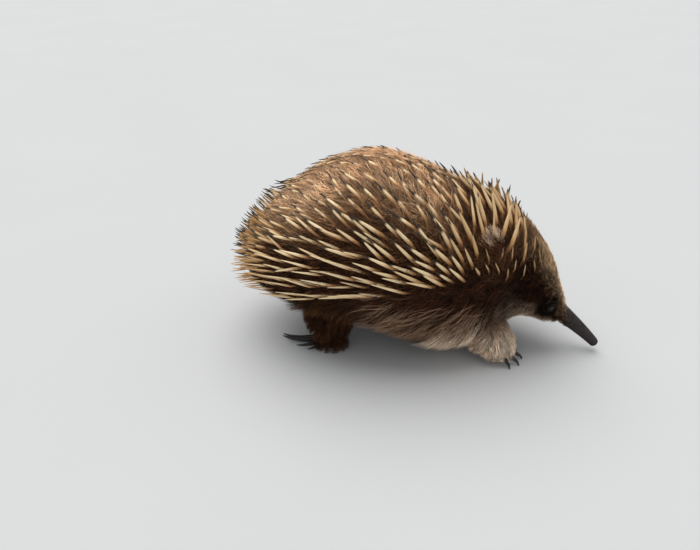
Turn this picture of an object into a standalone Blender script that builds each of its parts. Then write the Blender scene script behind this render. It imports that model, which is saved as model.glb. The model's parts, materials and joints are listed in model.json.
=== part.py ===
"""A short-beaked echidna, life size, standing still with its head low.

Metres, +Z up. The animal faces +X and its right side faces -Y, so its middle
plane is y = 0. It stands on small flats of its four soles at z = 0.

Trunk, neck and head are cut from one loft through rings of points. Each ring
is given by its crest point, its belly point and its half width, all measured
to the outside of the coat. The loft is then drawn in to a core about half way
down the coat, and spines and locks stand on that core, out to the tips.
"""

import math
import random

import bpy
import bmesh
from mathutils import Vector
from mathutils.bvhtree import BVHTree

UP = Vector((0.0, 0.0, 1.0))
FORWARD = Vector((1.0, 0.0, 0.0))
# A direction along none of the faces, for rays that tell inside from outside.
RAY = Vector((0.31, 0.17, 0.93)).normalized()

# Clearance between nodes that touch, half of it on each side of a cut.
GAP = 0.0003
# What a spine or lock keeps clear of the other nodes.
CLEAR = 0.0006

# The stations of the trunk from the rump to the root of the beak, out to the tips of the coat:
# crest x, crest z, belly x, belly z, half width, and how far the turned head is off the middle.
STATIONS = (
    (-0.166, 0.117, -0.166, 0.078, 0.034, 0.000),
    (-0.150, 0.139, -0.151, 0.064, 0.060, 0.000),
    (-0.120, 0.169, -0.122, 0.052, 0.085, 0.000),
    (-0.080, 0.195, -0.083, 0.043, 0.102, 0.000),
    (-0.030, 0.208, -0.033, 0.034, 0.107, 0.000),
    (0.020, 0.198, 0.014, 0.020, 0.104, 0.000),
    (0.062, 0.179, 0.050, 0.012, 0.094, 0.000),
    (0.094, 0.168, 0.082, 0.016, 0.079, 0.000),
    (0.122, 0.151, 0.106, 0.028, 0.063, -0.001),
    (0.143, 0.128, 0.124, 0.035, 0.049, -0.003),
    (0.160, 0.104, 0.140, 0.034, 0.039, -0.005),
    (0.171, 0.081, 0.154, 0.031, 0.030, -0.008),
    (0.179, 0.062, 0.166, 0.030, 0.020, -0.010),
    (0.184, 0.049, 0.174, 0.032, 0.012, -0.012),
    (0.192, 0.040, 0.184, 0.026, 0.009, -0.014),
)
RUMP_POLE = Vector((-0.172, 0.0, 0.0975))
TRUNK_RINGS = 26
TRUNK_SIDES = 24
# A ring's upper half is near an ellipse and its lower half squarer, where the belly hair hangs.
DOME_POWER = 2.05
BELLY_POWER = 2.7

# How far the core lies under the tips of the coat, on the trunk, under the belly and on the face.
TRUNK_DEPTH = 0.0105
BELLY_DEPTH = 0.0070
FACE_DEPTH = 0.0008
NAPE_STATION = 7.2
FACE_STATION = 10.0

# The cuts between torso, neck and head, each through a crest point and a throat point (x, z).
NECK_REAR = ((0.052, 0.184), (0.110, 0.024))
NECK_FRONT = ((0.080, 0.173), (0.118, 0.034))

# The beak: a round tube from its root to its tip, a little deeper than wide.
BEAK_ROOT = Vector((0.1765, -0.0115, 0.0415))
BEAK_TIP = Vector((0.2195, -0.0200, 0.0078))
BEAK_ROOT_RADIUS = 0.0102
BEAK_TIP_RADIUS = 0.0047
BEAK_ARCH = 0.0012
BEAK_SIDES = 12
BEAK_RINGS = 9
MOUTH_LENGTH = 0.0070
MOUTH_SLIT = 0.0007
NOSTRIL = 0.0010
NOSTRIL_BACK = 0.0032
NOSTRIL_APART = 0.0032

EYE_RADIUS = 0.0045
EYE_STATION = 10.84
EYE_ANGLE = 84.0
EYE_SINK = 0.0032
LID_WIDE = 0.0058
LID_HIGH = 0.0046
LID_THICK = 0.0013
LID_AROUND = 14
LID_ACROSS = 5

EAR_STATION = 7.24
EAR_ANGLE = 49.5
EAR_HALF = Vector((0.0068, 0.0100, 0.0085))
EAR_HOLLOW = Vector((0.0048, 0.0078, 0.0080))
EAR_OUT = 0.0065
EAR_OPEN_AHEAD = 0.0034
EAR_OPEN_OUT = 0.0042

# Feet: the middle of each sole, right side; the left feet stand half a step apart from them.
FORE_SOLE = Vector((0.109, -0.048, 0.0))
HIND_SOLE = Vector((-0.069, -0.049, 0.0))
LEFT_FORE_STEP = -0.012
LEFT_HIND_STEP = 0.022
FORE_FOOT = (0.030, 0.026, 0.017)
HIND_FOOT = (0.029, 0.026, 0.016)
FORE_ANKLE = 0.013
HIND_ANKLE = 0.012
SOLE_RISE = 0.38

# Legs: how far the hip or shoulder is from above the sole, and the radii from there down.
LEG_SIDES = 12
LEG_RINGS = 7
LEG_SHARES = (0.0, 0.38, 0.72, 1.0)
LEG_BOWS = (0.0, 1.0, 0.7, 0.0)
LEG_OUT = 0.002
LEG_FLAT = 0.94
FORE_SHOULDER = Vector((-0.030, 0.012, 0.062))
HIND_HIP = Vector((0.000, 0.004, 0.066))
FORE_RADII = (0.021, 0.0215, 0.0203, 0.0165)
HIND_RADII = (0.027, 0.0235, 0.0180, 0.0130)
FORE_BOW = 0.004

TAIL_ROOT = Vector((-0.136, 0.0, 0.086))
TAIL_TIP = Vector((-0.169, 0.0, 0.070))
TAIL_RADII = (0.016, 0.014, 0.009)
TAIL_SIDES = 10

CLAW_SIDES = 5
CLAW_RINGS = 4
CLAW_CLEAR = 0.0010
CLAW_TIP_Z = 0.0004
FORE_CLAWS = (0.013, 0.017, 0.019, 0.017, 0.013)
FORE_SPREAD = 27.0
FORE_CLAW_REACH = 0.62
FORE_CLAW_BOW = 0.22
FORE_CLAW_RADIUS = 0.0025
FORE_CLAW_ROOT_Z = 0.0082
HIND_CLAWS = (0.013, 0.043, 0.040, 0.024, 0.015)
HIND_SPREAD = 24.0
HIND_CLAW_TURN = 12.0
HIND_CLAW_SWEEP = 44.0
HIND_CLAW_BOW = 0.20
HIND_CLAW_RADIUS = 0.0026
HIND_CLAW_ROOT_Z = 0.0048
HIND_CLAW_TIP_Z = 0.0050
# Toes: short stubs from inside the foot to flat ends that face the roots of the claws.
TOE_SIDES = 6
TOE_DEPTH = 0.0060

# Spines: three-sided, tapered. They lean back along the trunk and up towards the crest, by a turn
# that depends on the angle round the ring, and stand off the surface by their lift.
SPINE_SIDES = 3
SPINE_RADIUS = 0.0013
SPINE_NECK = 0.68
SPINE_SINK = 0.0035
SPINE_LENGTHS = (0.017, 0.037)
SPINE_PROUD = 0.0030
SPINE_SPACING = 0.0187
SPINE_EDGE = 118.0
RUMP_SPACING = 0.0140
RUMP_EDGE = 140.0
RUMP_PROUD = 0.0060
RUMP_END = 1.5
HEAD_SPACING = 0.0128
HEAD_START = 7.0
HEAD_SPINE_RADIUS = 0.0011
NAPE_PROUD = 0.0065
SPINE_TURNS = ((0, 0), (22, 30), (60, 34), (90, 23), (112, 3), (130, -8))
SPINE_LIFT = 0.42
NAPE_TURN = 62.0
NAPE_LIFT = 0.75
NAPE_X = (0.045, 0.085)
FACE_SPINES_END = 9.3
TAIL_SPINE_LENGTH = 0.024
TAIL_SPINE_RADIUS = 0.0010
# Rings of spines on the tail: how far along it they are, and how many.
TAIL_SPINES = ((0.62, 10), (0.90, 7))

# Locks: flat, tapered and bent, with a ridge on top, and a lie that goes back and down.
LOCK_SIDES = 3
LOCK_SINK = 0.0030
LOCK_THICK = 0.0028
BACK_LOCK = (0.025, 0.0145)
BACK_LOCK_SPACING = 0.0400
BELLY_LOCK = (0.031, 0.0120)
BELLY_LOCK_SPACING = 0.0190
BELLY_ROWS = ((121.0, 1.3), (134.0, 0.9), (150.0, 1.6))
LEG_LOCK = (0.019, 0.0085)
# The hair behind a leg is swept back and longer.
REAR_SWEEP = 0.55
REAR_LONGER = 0.45
FACE_LOCK = (0.013, 0.0080)
THROAT_ROWS = ((8.6, (118, 140)), (9.5, (128,)))
# Rows of locks on a leg: how far down it they are, how many, and their share of a full length.
FORE_LOCK_ROWS = ((1.2, 9, 1.15), (2.05, 9, 0.85))
HIND_LOCK_ROWS = ((1.1, 7, 1.15), (1.8, 7, 0.9), (2.45, 6, 0.65))
SHARP_ANGLE = 50.0

# The middle of the whole animal's box lies at the origin.
CENTRE = Vector((-0.0132, 0.0, 0.0))

FUR = (0.105, 0.058, 0.032)
BEAK_SKIN = (0.050, 0.042, 0.038)
HORN = (0.035, 0.028, 0.025)
EYE = (0.008, 0.006, 0.005)

chance = random.Random(7)


def clear_scene():
    for found in list(bpy.data.objects):
        bpy.data.objects.remove(found, do_unlink=True)


def finish_of(name, colour, roughness, metallic=0.0):
    material = bpy.data.materials.new(name)
    material.use_nodes = True
    shader = material.node_tree.nodes["Principled BSDF"]
    shader.inputs["Base Color"].default_value = (*colour, 1.0)
    shader.inputs["Roughness"].default_value = roughness
    shader.inputs["Metallic"].default_value = metallic
    return material


def ramp(value, low, high):
    """0 at low, 1 at high, and a smooth step between them."""
    f = min(max((value - low) / (high - low), 0.0), 1.0)
    return f * f * (3.0 - 2.0 * f)


def along(pairs, value):
    """The value read from straight lines between (place, value) pairs."""
    if value <= pairs[0][0]:
        return pairs[0][1]
    for (x0, y0), (x1, y1) in zip(pairs, pairs[1:]):
        if value <= x1:
            return y0 + (y1 - y0) * (value - x0) / (x1 - x0)
    return pairs[-1][1]


def smooth(rows, t):
    """A value on a smooth curve through rows of numbers, where whole numbers of t are the rows."""
    last = len(rows) - 1
    i = min(max(int(math.floor(t)), 0), last - 1)
    f = t - i
    p0, p1, p2, p3 = (rows[min(max(k, 0), last)] for k in (i - 1, i, i + 1, i + 2))
    return [
        0.5 * (2 * b + (c - a) * f + (2 * a - 5 * b + 4 * c - d) * f**2
               + (3 * b - a - 3 * c + d) * f**3)
        for a, b, c, d in zip(p0, p1, p2, p3)
    ]


def new_object(name, bm):
    mesh = bpy.data.meshes.new(name)
    bm.to_mesh(mesh)
    bm.free()
    return bpy.data.objects.new(name, mesh)


def loft(name, rings, start=None, end=None):
    """A closed mesh through rings of equal count. Each end closes on a point, or flat without one."""
    bm = bmesh.new()
    rows = [[bm.verts.new(point) for point in ring] for ring in rings]
    sides = len(rows[0])
    for lower, upper in zip(rows, rows[1:]):
        for i in range(sides):
            j = (i + 1) % sides
            bm.faces.new((lower[i], lower[j], upper[j], upper[i]))
    for row, point in ((rows[0][::-1], start), (rows[-1], end)):
        if point is None:
            bm.faces.new(row)
            continue
        pole = bm.verts.new(point)
        for i in range(sides):
            bm.faces.new((row[i], row[(i + 1) % sides], pole))
    bmesh.ops.recalc_face_normals(bm, faces=bm.faces)
    return new_object(name, bm)


def circle(centre, direction, wide, high, sides, upward=UP):
    """Points round a centre, across a direction, from the top and turning towards the side."""
    side = direction.cross(upward).normalized()
    up = side.cross(direction).normalized()
    turns = (math.tau * i / sides for i in range(sides))
    return [centre + side * (math.sin(a) * wide) + up * (math.cos(a) * high) for a in turns]


def ball(name, centre, axes, radii, segments=12, rings=8):
    """A stretched sphere on three axes."""
    bm = bmesh.new()
    bmesh.ops.create_uvsphere(bm, u_segments=segments, v_segments=rings, radius=1.0)
    for vertex in bm.verts:
        local = vertex.co.copy()
        vertex.co = centre + sum((axis * (c * r) for axis, c, r in zip(axes, local, radii)), Vector())
    bm.normal_update()
    bmesh.ops.recalc_face_normals(bm, faces=bm.faces)
    return new_object(name, bm)


def cut_plane(body, point, normal):
    """Keeps what lies behind the plane and closes the cut flat."""
    bm = bmesh.new()
    bm.from_mesh(body.data)
    geometry = bm.verts[:] + bm.edges[:] + bm.faces[:]
    cut = bmesh.ops.bisect_plane(
        bm, geom=geometry, plane_co=point, plane_no=normal, clear_outer=True, dist=1e-7
    )
    rim = [g for g in cut["geom_cut"] if isinstance(g, bmesh.types.BMEdge)]
    bmesh.ops.edgeloop_fill(bm, edges=rim)
    bmesh.ops.recalc_face_normals(bm, faces=bm.faces)
    bm.to_mesh(body.data)
    bm.free()


def keep_largest(body):
    """Drops every closed surface but the one that spans the most room."""
    bm = bmesh.new()
    bm.from_mesh(body.data)
    left = set(bm.verts)
    islands = []
    while left:
        island = set()
        edge = [left.pop()]
        while edge:
            vertex = edge.pop()
            island.add(vertex)
            for link in vertex.link_edges:
                other = link.other_vert(vertex)
                if other in left:
                    left.remove(other)
                    edge.append(other)
        islands.append(island)

    def room(island):
        corners = [v.co for v in island]
        return math.prod(max(c[k] for c in corners) - min(c[k] for c in corners) for k in range(3))

    best = max(islands, key=room)
    loose = [v for island in islands if island is not best for v in island]
    bmesh.ops.delete(bm, geom=loose, context="VERTS")
    bm.to_mesh(body.data)
    bm.free()


def combine(body, others, operation):
    """One Boolean of a body with other closed bodies, applied. The others are used up."""
    group = bpy.data.collections.new(body.name + " " + operation.lower())
    bpy.context.scene.collection.children.link(group)
    bpy.context.scene.collection.objects.link(body)
    for other in others:
        group.objects.link(other)
    change = body.modifiers.new(operation.lower(), "BOOLEAN")
    change.operation = operation
    change.solver = "EXACT"
    change.operand_type = "COLLECTION"
    change.collection = group
    graph = bpy.context.evaluated_depsgraph_get()
    mesh = bpy.data.meshes.new_from_object(body.evaluated_get(graph))
    body.modifiers.clear()
    body.data = mesh
    for other in others:
        bpy.data.objects.remove(other)
    bpy.data.collections.remove(group)
    bpy.context.scene.collection.objects.unlink(body)
    keep_largest(body)


def carve(body, *cutters):
    for cutter in cutters:
        combine(body, [cutter], "DIFFERENCE")


# The trunk as a surface: t counts the stations, angle turns from the crest to the right side.

def coat_point(t, angle):
    """A point on the outside of the coat."""
    crest_x, crest_z, belly_x, belly_z, half, shift = smooth(STATIONS, t)
    c = math.cos(math.radians(angle))
    s = math.sin(math.radians(angle))
    power = 2.0 / (DOME_POWER if c > 0 else BELLY_POWER)
    high = math.copysign(abs(c) ** power, c)
    wide = math.copysign(abs(s) ** power, s)
    x = (crest_x + belly_x) / 2 + high * (crest_x - belly_x) / 2
    z = (crest_z + belly_z) / 2 + high * (crest_z - belly_z) / 2
    return Vector((x, shift - half * wide, z))


def coat_normal(t, angle):
    forward = coat_point(t + 0.03, angle) - coat_point(t - 0.03, angle)
    turning = coat_point(t, angle + 1.0) - coat_point(t, angle - 1.0)
    return turning.cross(forward).normalized()


def core_depth(t, angle):
    """How far the core lies under the coat's surface."""
    trunk_depth = TRUNK_DEPTH + (BELLY_DEPTH - TRUNK_DEPTH) * ramp(abs(angle), 105, 150)
    return trunk_depth + (FACE_DEPTH - trunk_depth) * ramp(t, NAPE_STATION, FACE_STATION)


def core_point(t, angle):
    return coat_point(t, angle) - coat_normal(t, angle) * core_depth(t, angle)


def trunk(name, margin=0.0):
    """The core from rump to beak as one loft, grown by a margin where it has to cut a neighbour."""
    last = len(STATIONS) - 1
    rings = []
    for k in range(TRUNK_RINGS):
        t = last * k / (TRUNK_RINGS - 1)
        ring = []
        for i in range(TRUNK_SIDES):
            angle = (360.0 * i / TRUNK_SIDES + 180.0) % 360.0 - 180.0
            ring.append(core_point(t, angle) + coat_normal(t, angle) * margin)
        rings.append(ring)
    return loft(name, rings, start=RUMP_POLE + FORWARD * (TRUNK_DEPTH - margin))


def slanted(cut):
    """The point and the forward normal of a cut given by its crest and throat points."""
    (crest_x, crest_z), (throat_x, throat_z) = cut
    line = Vector((throat_x - crest_x, 0.0, throat_z - crest_z)).normalized()
    return Vector((crest_x, 0.0, crest_z)), Vector((-line.z, 0.0, line.x))


def make_trunk_nodes():
    rear_point, rear_normal = slanted(NECK_REAR)
    front_point, front_normal = slanted(NECK_FRONT)
    beak_line = (BEAK_TIP - BEAK_ROOT).normalized()

    torso = trunk("torso")
    cut_plane(torso, rear_point - rear_normal * GAP / 2, rear_normal)

    neck = trunk("neck")
    cut_plane(neck, rear_point + rear_normal * GAP / 2, -rear_normal)
    cut_plane(neck, front_point - front_normal * GAP / 2, front_normal)

    head = trunk("head")
    cut_plane(head, front_point + front_normal * GAP / 2, -front_normal)
    cut_plane(head, BEAK_ROOT - beak_line * GAP / 2, beak_line)
    return torso, neck, head


def make_beak():
    """A tube that narrows to a round tip, with two nostrils on top and a short mouth slit."""
    line = (BEAK_TIP - BEAK_ROOT).normalized()
    side = line.cross(UP).normalized()
    over = side.cross(line).normalized()
    rings = []
    for k in range(BEAK_RINGS):
        f = k / (BEAK_RINGS - 1)
        arch = over * (BEAK_ARCH * math.sin(math.pi * f))
        centre = BEAK_ROOT.lerp(BEAK_TIP, f * 0.95) + arch + line * (GAP / 2 * (1 - f))
        radius = BEAK_ROOT_RADIUS + (BEAK_TIP_RADIUS - BEAK_ROOT_RADIUS) * f**0.85
        if k == BEAK_RINGS - 1:
            radius *= 0.78
        rings.append(circle(centre, line, radius * 0.94, radius, BEAK_SIDES))
    beak = loft("beak", rings, end=BEAK_TIP)
    axes = (line, side, over)
    lip = BEAK_TIP - over * BEAK_TIP_RADIUS * 0.45
    slit = ball("slit", lip, axes, (MOUTH_LENGTH, BEAK_TIP_RADIUS * 1.6, MOUTH_SLIT / 2), 12, 6)
    holes = []
    for turn in (-1, 1):
        place = BEAK_TIP - line * NOSTRIL_BACK + over * BEAK_TIP_RADIUS * 0.93
        place += side * (turn * NOSTRIL_APART / 2)
        holes.append(ball("nostril", place, axes, (NOSTRIL * 1.5, NOSTRIL, NOSTRIL), 8, 6))
    carve(beak, slit, *holes)
    return beak


def side_sign(side):
    """Which way along Y a side lies: the right side is towards -Y."""
    return -1.0 if side == "right" else 1.0


def skin_axes(t, angle):
    """Forward, upward and outward directions on the surface."""
    out = coat_normal(t, angle)
    upward = (UP - out * UP.dot(out)).normalized()
    return upward.cross(out) * (1 if angle > 0 else -1), upward, out


def make_eye(side):
    """The eyeball, and what makes its place in the head: the lids' ring and the socket's ball."""
    angle = -side_sign(side) * EYE_ANGLE
    axes = skin_axes(EYE_STATION, angle)
    ahead, upward, out = axes
    surface = core_point(EYE_STATION, angle)
    centre = surface - out * EYE_SINK
    eyeball = ball(f"eye_{side}", centre, axes, (EYE_RADIUS,) * 3, 10, 7)
    socket = ball("socket", centre, axes, (EYE_RADIUS + GAP * 1.2,) * 3, 10, 7)
    bm = bmesh.new()
    rows = []
    for i in range(LID_AROUND):
        a = math.tau * i / LID_AROUND
        middle = surface + ahead * (LID_WIDE * math.cos(a)) + upward * (LID_HIGH * math.sin(a))
        outward = (middle - surface).normalized()
        row = []
        for j in range(LID_ACROSS):
            b = math.tau * j / LID_ACROSS
            row.append(bm.verts.new(middle + (outward * math.cos(b) + out * math.sin(b)) * LID_THICK))
        rows.append(row)
    for i in range(LID_AROUND):
        row, ahead_row = rows[i], rows[(i + 1) % LID_AROUND]
        for j in range(LID_ACROSS):
            k = (j + 1) % LID_ACROSS
            bm.faces.new((row[j], row[k], ahead_row[k], ahead_row[j]))
    bmesh.ops.recalc_face_normals(bm, faces=bm.faces)
    return eyeball, new_object("lids", bm), socket


def make_ear(side, margin_trunk):
    """A furred cup that stands off the side of the head, hollow towards the front."""
    angle = -side_sign(side) * EAR_ANGLE
    axes = skin_axes(EAR_STATION, angle)
    ahead, _, out = axes
    centre = core_point(EAR_STATION, angle) + out * EAR_OUT
    ear = ball(f"ear_{side}", centre, axes, EAR_HALF, 12, 8)
    opening = centre + ahead * EAR_OPEN_AHEAD + out * EAR_OPEN_OUT
    hollow = ball("hollow", opening, axes, EAR_HOLLOW, 10, 6)
    carve(ear, hollow, margin_trunk)
    return ear


def sole_of(side, right_sole, left_step):
    """The middle of a sole: the right one as given, the left one mirrored and a step away."""
    if side == "right":
        return right_sole.copy()
    return Vector((right_sole.x + left_step, -right_sole.y, 0.0))


class Leg:
    """A leg's centre line and radii, from inside the trunk down to its ankle."""

    def __init__(self, side, sole, top_offset, radii, bow):
        sign = side_sign(side)
        top = sole + Vector((top_offset.x, -sign * top_offset.y, top_offset.z))
        ankle = sole + UP * HIND_ANKLE
        points = [top.lerp(ankle, f) for f in LEG_SHARES]
        for f, point in zip(LEG_BOWS, points):
            point.x += bow * f
            point.y += sign * LEG_OUT * f
        self.points = [tuple(point) for point in points]
        self.radii = [(radius,) for radius in radii]

    def centre(self, t):
        return Vector(smooth(self.points, t))

    def line(self, t):
        return (self.centre(min(t + 0.05, 3.0)) - self.centre(max(t - 0.05, 0.0))).normalized()

    def ring(self, t, sides):
        radius = smooth(self.radii, t)[0]
        return circle(self.centre(t), self.line(t), radius, radius * LEG_FLAT, sides, FORWARD)


def make_leg(name, leg, ankle, margin_trunk):
    rings = [leg.ring(3.0 * k / (LEG_RINGS - 1), LEG_SIDES) for k in range(LEG_RINGS)]
    body = loft(name, rings)
    cut_plane(body, UP * (ankle + GAP / 2), -UP)
    carve(body, margin_trunk)
    return body


def make_foot(name, sole, size, ankle):
    """A flattened pad with its sole cut flat at the floor and its top cut flat at the ankle."""
    length, width, height = size
    axes = (FORWARD, Vector((0, 1, 0)), UP)
    radii = (length / 2, width / 2, height * 0.675)
    foot = ball(name, sole + UP * height * SOLE_RISE, axes, radii, 12, 8)
    cut_plane(foot, Vector(), -UP)
    cut_plane(foot, UP * (ankle - GAP / 2), UP)
    return foot


def make_claw(name, root, tip, bow, radius):
    """A curved, tapered claw from its flat root to its tip, bowed out by a vector at the middle."""
    middle = (root + tip) / 2 + bow
    rings = []
    for k in range(CLAW_RINGS):
        f = k / CLAW_RINGS
        place = root * (1 - f) ** 2 + middle * (2 * f * (1 - f)) + tip * f**2
        line = ((middle - root) * (1 - f) + (tip - middle) * f).normalized()
        size = radius * (1.0 - 0.78 * f**1.3)
        rings.append(circle(place, line, size * 0.8, size, CLAW_SIDES))
    return loft(name, rings, end=tip)


def make_toe(root, tip, bow, radius):
    """A stub behind a claw, in line with its root, with a flat end one gap short of it."""
    line = ((root + tip) / 2 + bow - root).normalized()
    inner = root - line * TOE_DEPTH
    outer = root - line * GAP
    size = radius * 1.12
    rings = [circle(place, line, size, size, TOE_SIDES) for place in (inner, outer)]
    return loft("toe", rings)


def flat_way(degrees):
    return Vector((math.cos(math.radians(degrees)), math.sin(math.radians(degrees)), 0.0))


def make_claws(side, fore, hind):
    """Five short claws that dig down in front, and five long ones that sweep back behind."""
    sign = side_sign(side)
    claws = []
    fore_toes = []
    hind_toes = []
    for i in range(5):
        way = flat_way((i - 2) * FORE_SPREAD * sign)
        root = fore + way * (FORE_FOOT[0] / 2 + CLAW_CLEAR) + UP * FORE_CLAW_ROOT_Z
        tip = root + way * FORE_CLAWS[i] * FORE_CLAW_REACH
        tip.z = CLAW_TIP_Z
        bow = (way + UP) * FORE_CLAWS[i] * FORE_CLAW_BOW
        claws.append(make_claw(f"foreclaw_{side}_{i + 1}", root, tip, bow, FORE_CLAW_RADIUS))
        fore_toes.append(make_toe(root, tip, bow, FORE_CLAW_RADIUS))
        turn = 180.0 - sign * ((i - 2) * HIND_SPREAD - HIND_CLAW_TURN)
        root = hind + flat_way(turn) * (HIND_FOOT[0] / 2 + CLAW_CLEAR) + UP * HIND_CLAW_ROOT_Z
        tip = root + flat_way(turn - sign * HIND_CLAW_SWEEP * HIND_CLAWS[i] / 0.04) * HIND_CLAWS[i]
        tip.z = HIND_CLAW_TIP_Z
        bow = flat_way(turn + sign * 60.0) * HIND_CLAWS[i] * HIND_CLAW_BOW
        claws.append(make_claw(f"hindclaw_{side}_{i + 1}", root, tip, bow, HIND_CLAW_RADIUS))
        hind_toes.append(make_toe(root, tip, bow, HIND_CLAW_RADIUS))
    return claws, fore_toes, hind_toes


def tail_ring(f, sides):
    radius = along(((0.0, TAIL_RADII[0]), (0.55, TAIL_RADII[1]), (0.9, TAIL_RADII[2])), f)
    return circle(TAIL_ROOT.lerp(TAIL_TIP, f), TAIL_TIP - TAIL_ROOT, radius * 1.2, radius, sides)


def make_tail(margin_trunk):
    tail = loft("tail", [tail_ring(f, TAIL_SIDES) for f in (0.0, 0.55, 0.9)], end=TAIL_TIP)
    carve(tail, margin_trunk)
    return tail


def is_inside(tree, point):
    """Whether a closed body holds a point, by counting its faces along a ray."""
    count = 0
    start = point
    while True:
        hit, _, _, _ = tree.ray_cast(start, RAY)
        if hit is None:
            return count % 2 == 1
        count += 1
        start = hit + RAY * 1e-6


class Coat:
    """The spines and locks of every node, each kept clear of the other nodes."""

    def __init__(self, bodies):
        self.bodies = {body.name: body for body in bodies}
        self.trees = {}
        for body in bodies:
            mesh = body.data
            points = [v.co.copy() for v in mesh.vertices]
            faces = [tuple(face.vertices) for face in mesh.polygons]
            self.trees[body.name] = BVHTree.FromPolygons(points, faces)
        self.pieces = {body.name: [] for body in bodies}
        self.sticks = {body.name: [] for body in bodies}

    def is_clear(self, node, lines, radius):
        """Whether bent lines of a given radius keep off the floor and off every other node."""
        samples = []
        for line in lines:
            for start, end in zip(line, line[1:]):
                samples += [start.lerp(end, f / 4) for f in range(5)]
        reach = radius + CLEAR
        if min(point.z for point in samples) < reach:
            return False
        for name, tree in self.trees.items():
            if name == node:
                continue
            for point in samples:
                if tree.find_nearest(point, reach)[0] is not None:
                    return False
            if is_inside(tree, samples[0]):
                return False
        for name, sticks in self.sticks.items():
            if name == node:
                continue
            for others, other_radius in sticks:
                limit = reach + other_radius + CLEAR
                if (others[0] - samples[0]).length > 0.09:
                    continue
                if any((a - b).length < limit for a in samples for b in others):
                    return False
        self.found = samples
        return True

    def add(self, node, line, widths, thicks, normal, sides):
        """Adds one tapered piece along a bent line, if it is clear of the other nodes."""
        rings = []
        for k, point in enumerate(line[:-1]):
            way = (line[k + 1] - line[max(k - 1, 0)]).normalized()
            rings.append(circle(point, way, widths[k], thicks[k], sides, normal))
        lines = [line]
        if widths[0] > thicks[0]:
            lines += [[ring[k] for ring in rings] + [line[-1]] for k in (1, -1)]
        if not self.is_clear(node, lines, max(thicks)):
            return False
        self.pieces[node].append(loft("piece", rings, end=line[-1]))
        self.sticks[node].append((self.found, max(thicks)))
        return True

    def spine(self, node, root, way, normal, length, radius):
        """A straight spine, shorter where its full length would meet another node."""
        for share in (1.0, 0.8, 0.62):
            neck = root + way * (length * share * SPINE_NECK)
            line = [root - (way + normal) * (SPINE_SINK / 2), neck, root + way * (length * share)]
            sizes = (radius, radius * 0.86)
            if self.add(node, line, sizes, sizes, normal, SPINE_SIDES):
                return True
        return False

    def lock(self, node, root, way, normal, length, width, droop):
        """A flat lock that bends from its first way by the droop, lifted where it isn't clear."""
        for lift in (0.0, 0.3, 0.6):
            start = (way + normal * lift).normalized()
            middle = root + start * (length * 0.45)
            later = (start + droop).normalized()
            line = [root - start * LOCK_SINK, middle - later * (length * 0.08),
                    middle + later * (length * 0.27), middle + later * (length * 0.55)]
            half = width / 2
            thick = LOCK_THICK / 2
            widths = (half * 0.9, half, half * 0.6)
            if self.add(node, line, widths, (thick, thick, thick * 0.7), normal, LOCK_SIDES):
                return True
        return False

    def fuse(self):
        for node, pieces in self.pieces.items():
            if pieces:
                combine(self.bodies[node], pieces, "UNION")


def node_of(point, margin):
    """Which of the three trunk nodes a point lies in, or none if it is too near a cut."""
    rear_point, rear_normal = slanted(NECK_REAR)
    front_point, front_normal = slanted(NECK_FRONT)
    ahead_of_rear = (point - rear_point).dot(rear_normal)
    ahead_of_front = (point - front_point).dot(front_normal)
    if min(abs(ahead_of_rear), abs(ahead_of_front)) < margin:
        return None
    if ahead_of_rear < 0:
        return "torso"
    return "neck" if ahead_of_front < 0 else "head"


def spine_way(point, t, angle, normal):
    """Back along the trunk and up towards the crest, more upright on the nape."""
    nape = ramp(point.x, *NAPE_X)
    turn = along(SPINE_TURNS, abs(angle))
    turn += (NAPE_TURN - turn) * nape * (1.0 - ramp(abs(angle), 80, 120))
    turn *= ramp(abs(angle), -6, 18)
    turn += chance.uniform(-6, 6)
    lift = SPINE_LIFT + (NAPE_LIFT - SPINE_LIFT) * nape + chance.uniform(-0.06, 0.06)
    upward = (UP - normal * UP.dot(normal))
    if upward.length > 1e-4:
        upward.normalize()
    back = -FORWARD * math.cos(math.radians(turn)) + upward * math.sin(math.radians(turn))
    return (back + normal * lift).normalized()


def even_stations(start, end, spacing, angle=60.0):
    """Stations from start to end that lie a spacing apart along the flank."""
    found = [start]
    t = start
    walked = 0.0
    while t < end:
        walked += (core_point(t + 0.02, angle) - core_point(t, angle)).length
        t += 0.02
        if walked >= spacing:
            found.append(t)
            walked = 0.0
    return found


def even_angles(t, edge, spacing, shifted):
    """Angles from one edge over the crest to the other, a spacing apart round the ring."""
    steps = 60
    points = [core_point(t, -edge + 2 * edge * k / steps) for k in range(steps + 1)]
    girth = sum((b - a).length for a, b in zip(points, points[1:]))
    count = max(int(round(girth / spacing)), 3)
    offset = 0.5 if shifted else 0.0
    return [-edge + 2 * edge * (k + offset) / count for k in range(count + (0 if shifted else 1))]


def spine_rows():
    """The stations of the rows of spines, with the spacing inside each row."""
    rump = even_stations(0.05, RUMP_END, RUMP_SPACING)
    rows = [(t, RUMP_SPACING) for t in rump]
    trunk_rows = even_stations(rump[-1] + 0.38, HEAD_START, SPINE_SPACING)
    rows += [(t, SPINE_SPACING) for t in trunk_rows]
    head_rows = even_stations(trunk_rows[-1] + 0.45, FACE_SPINES_END, HEAD_SPACING)
    return rows + [(t, HEAD_SPACING) for t in head_rows]


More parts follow.
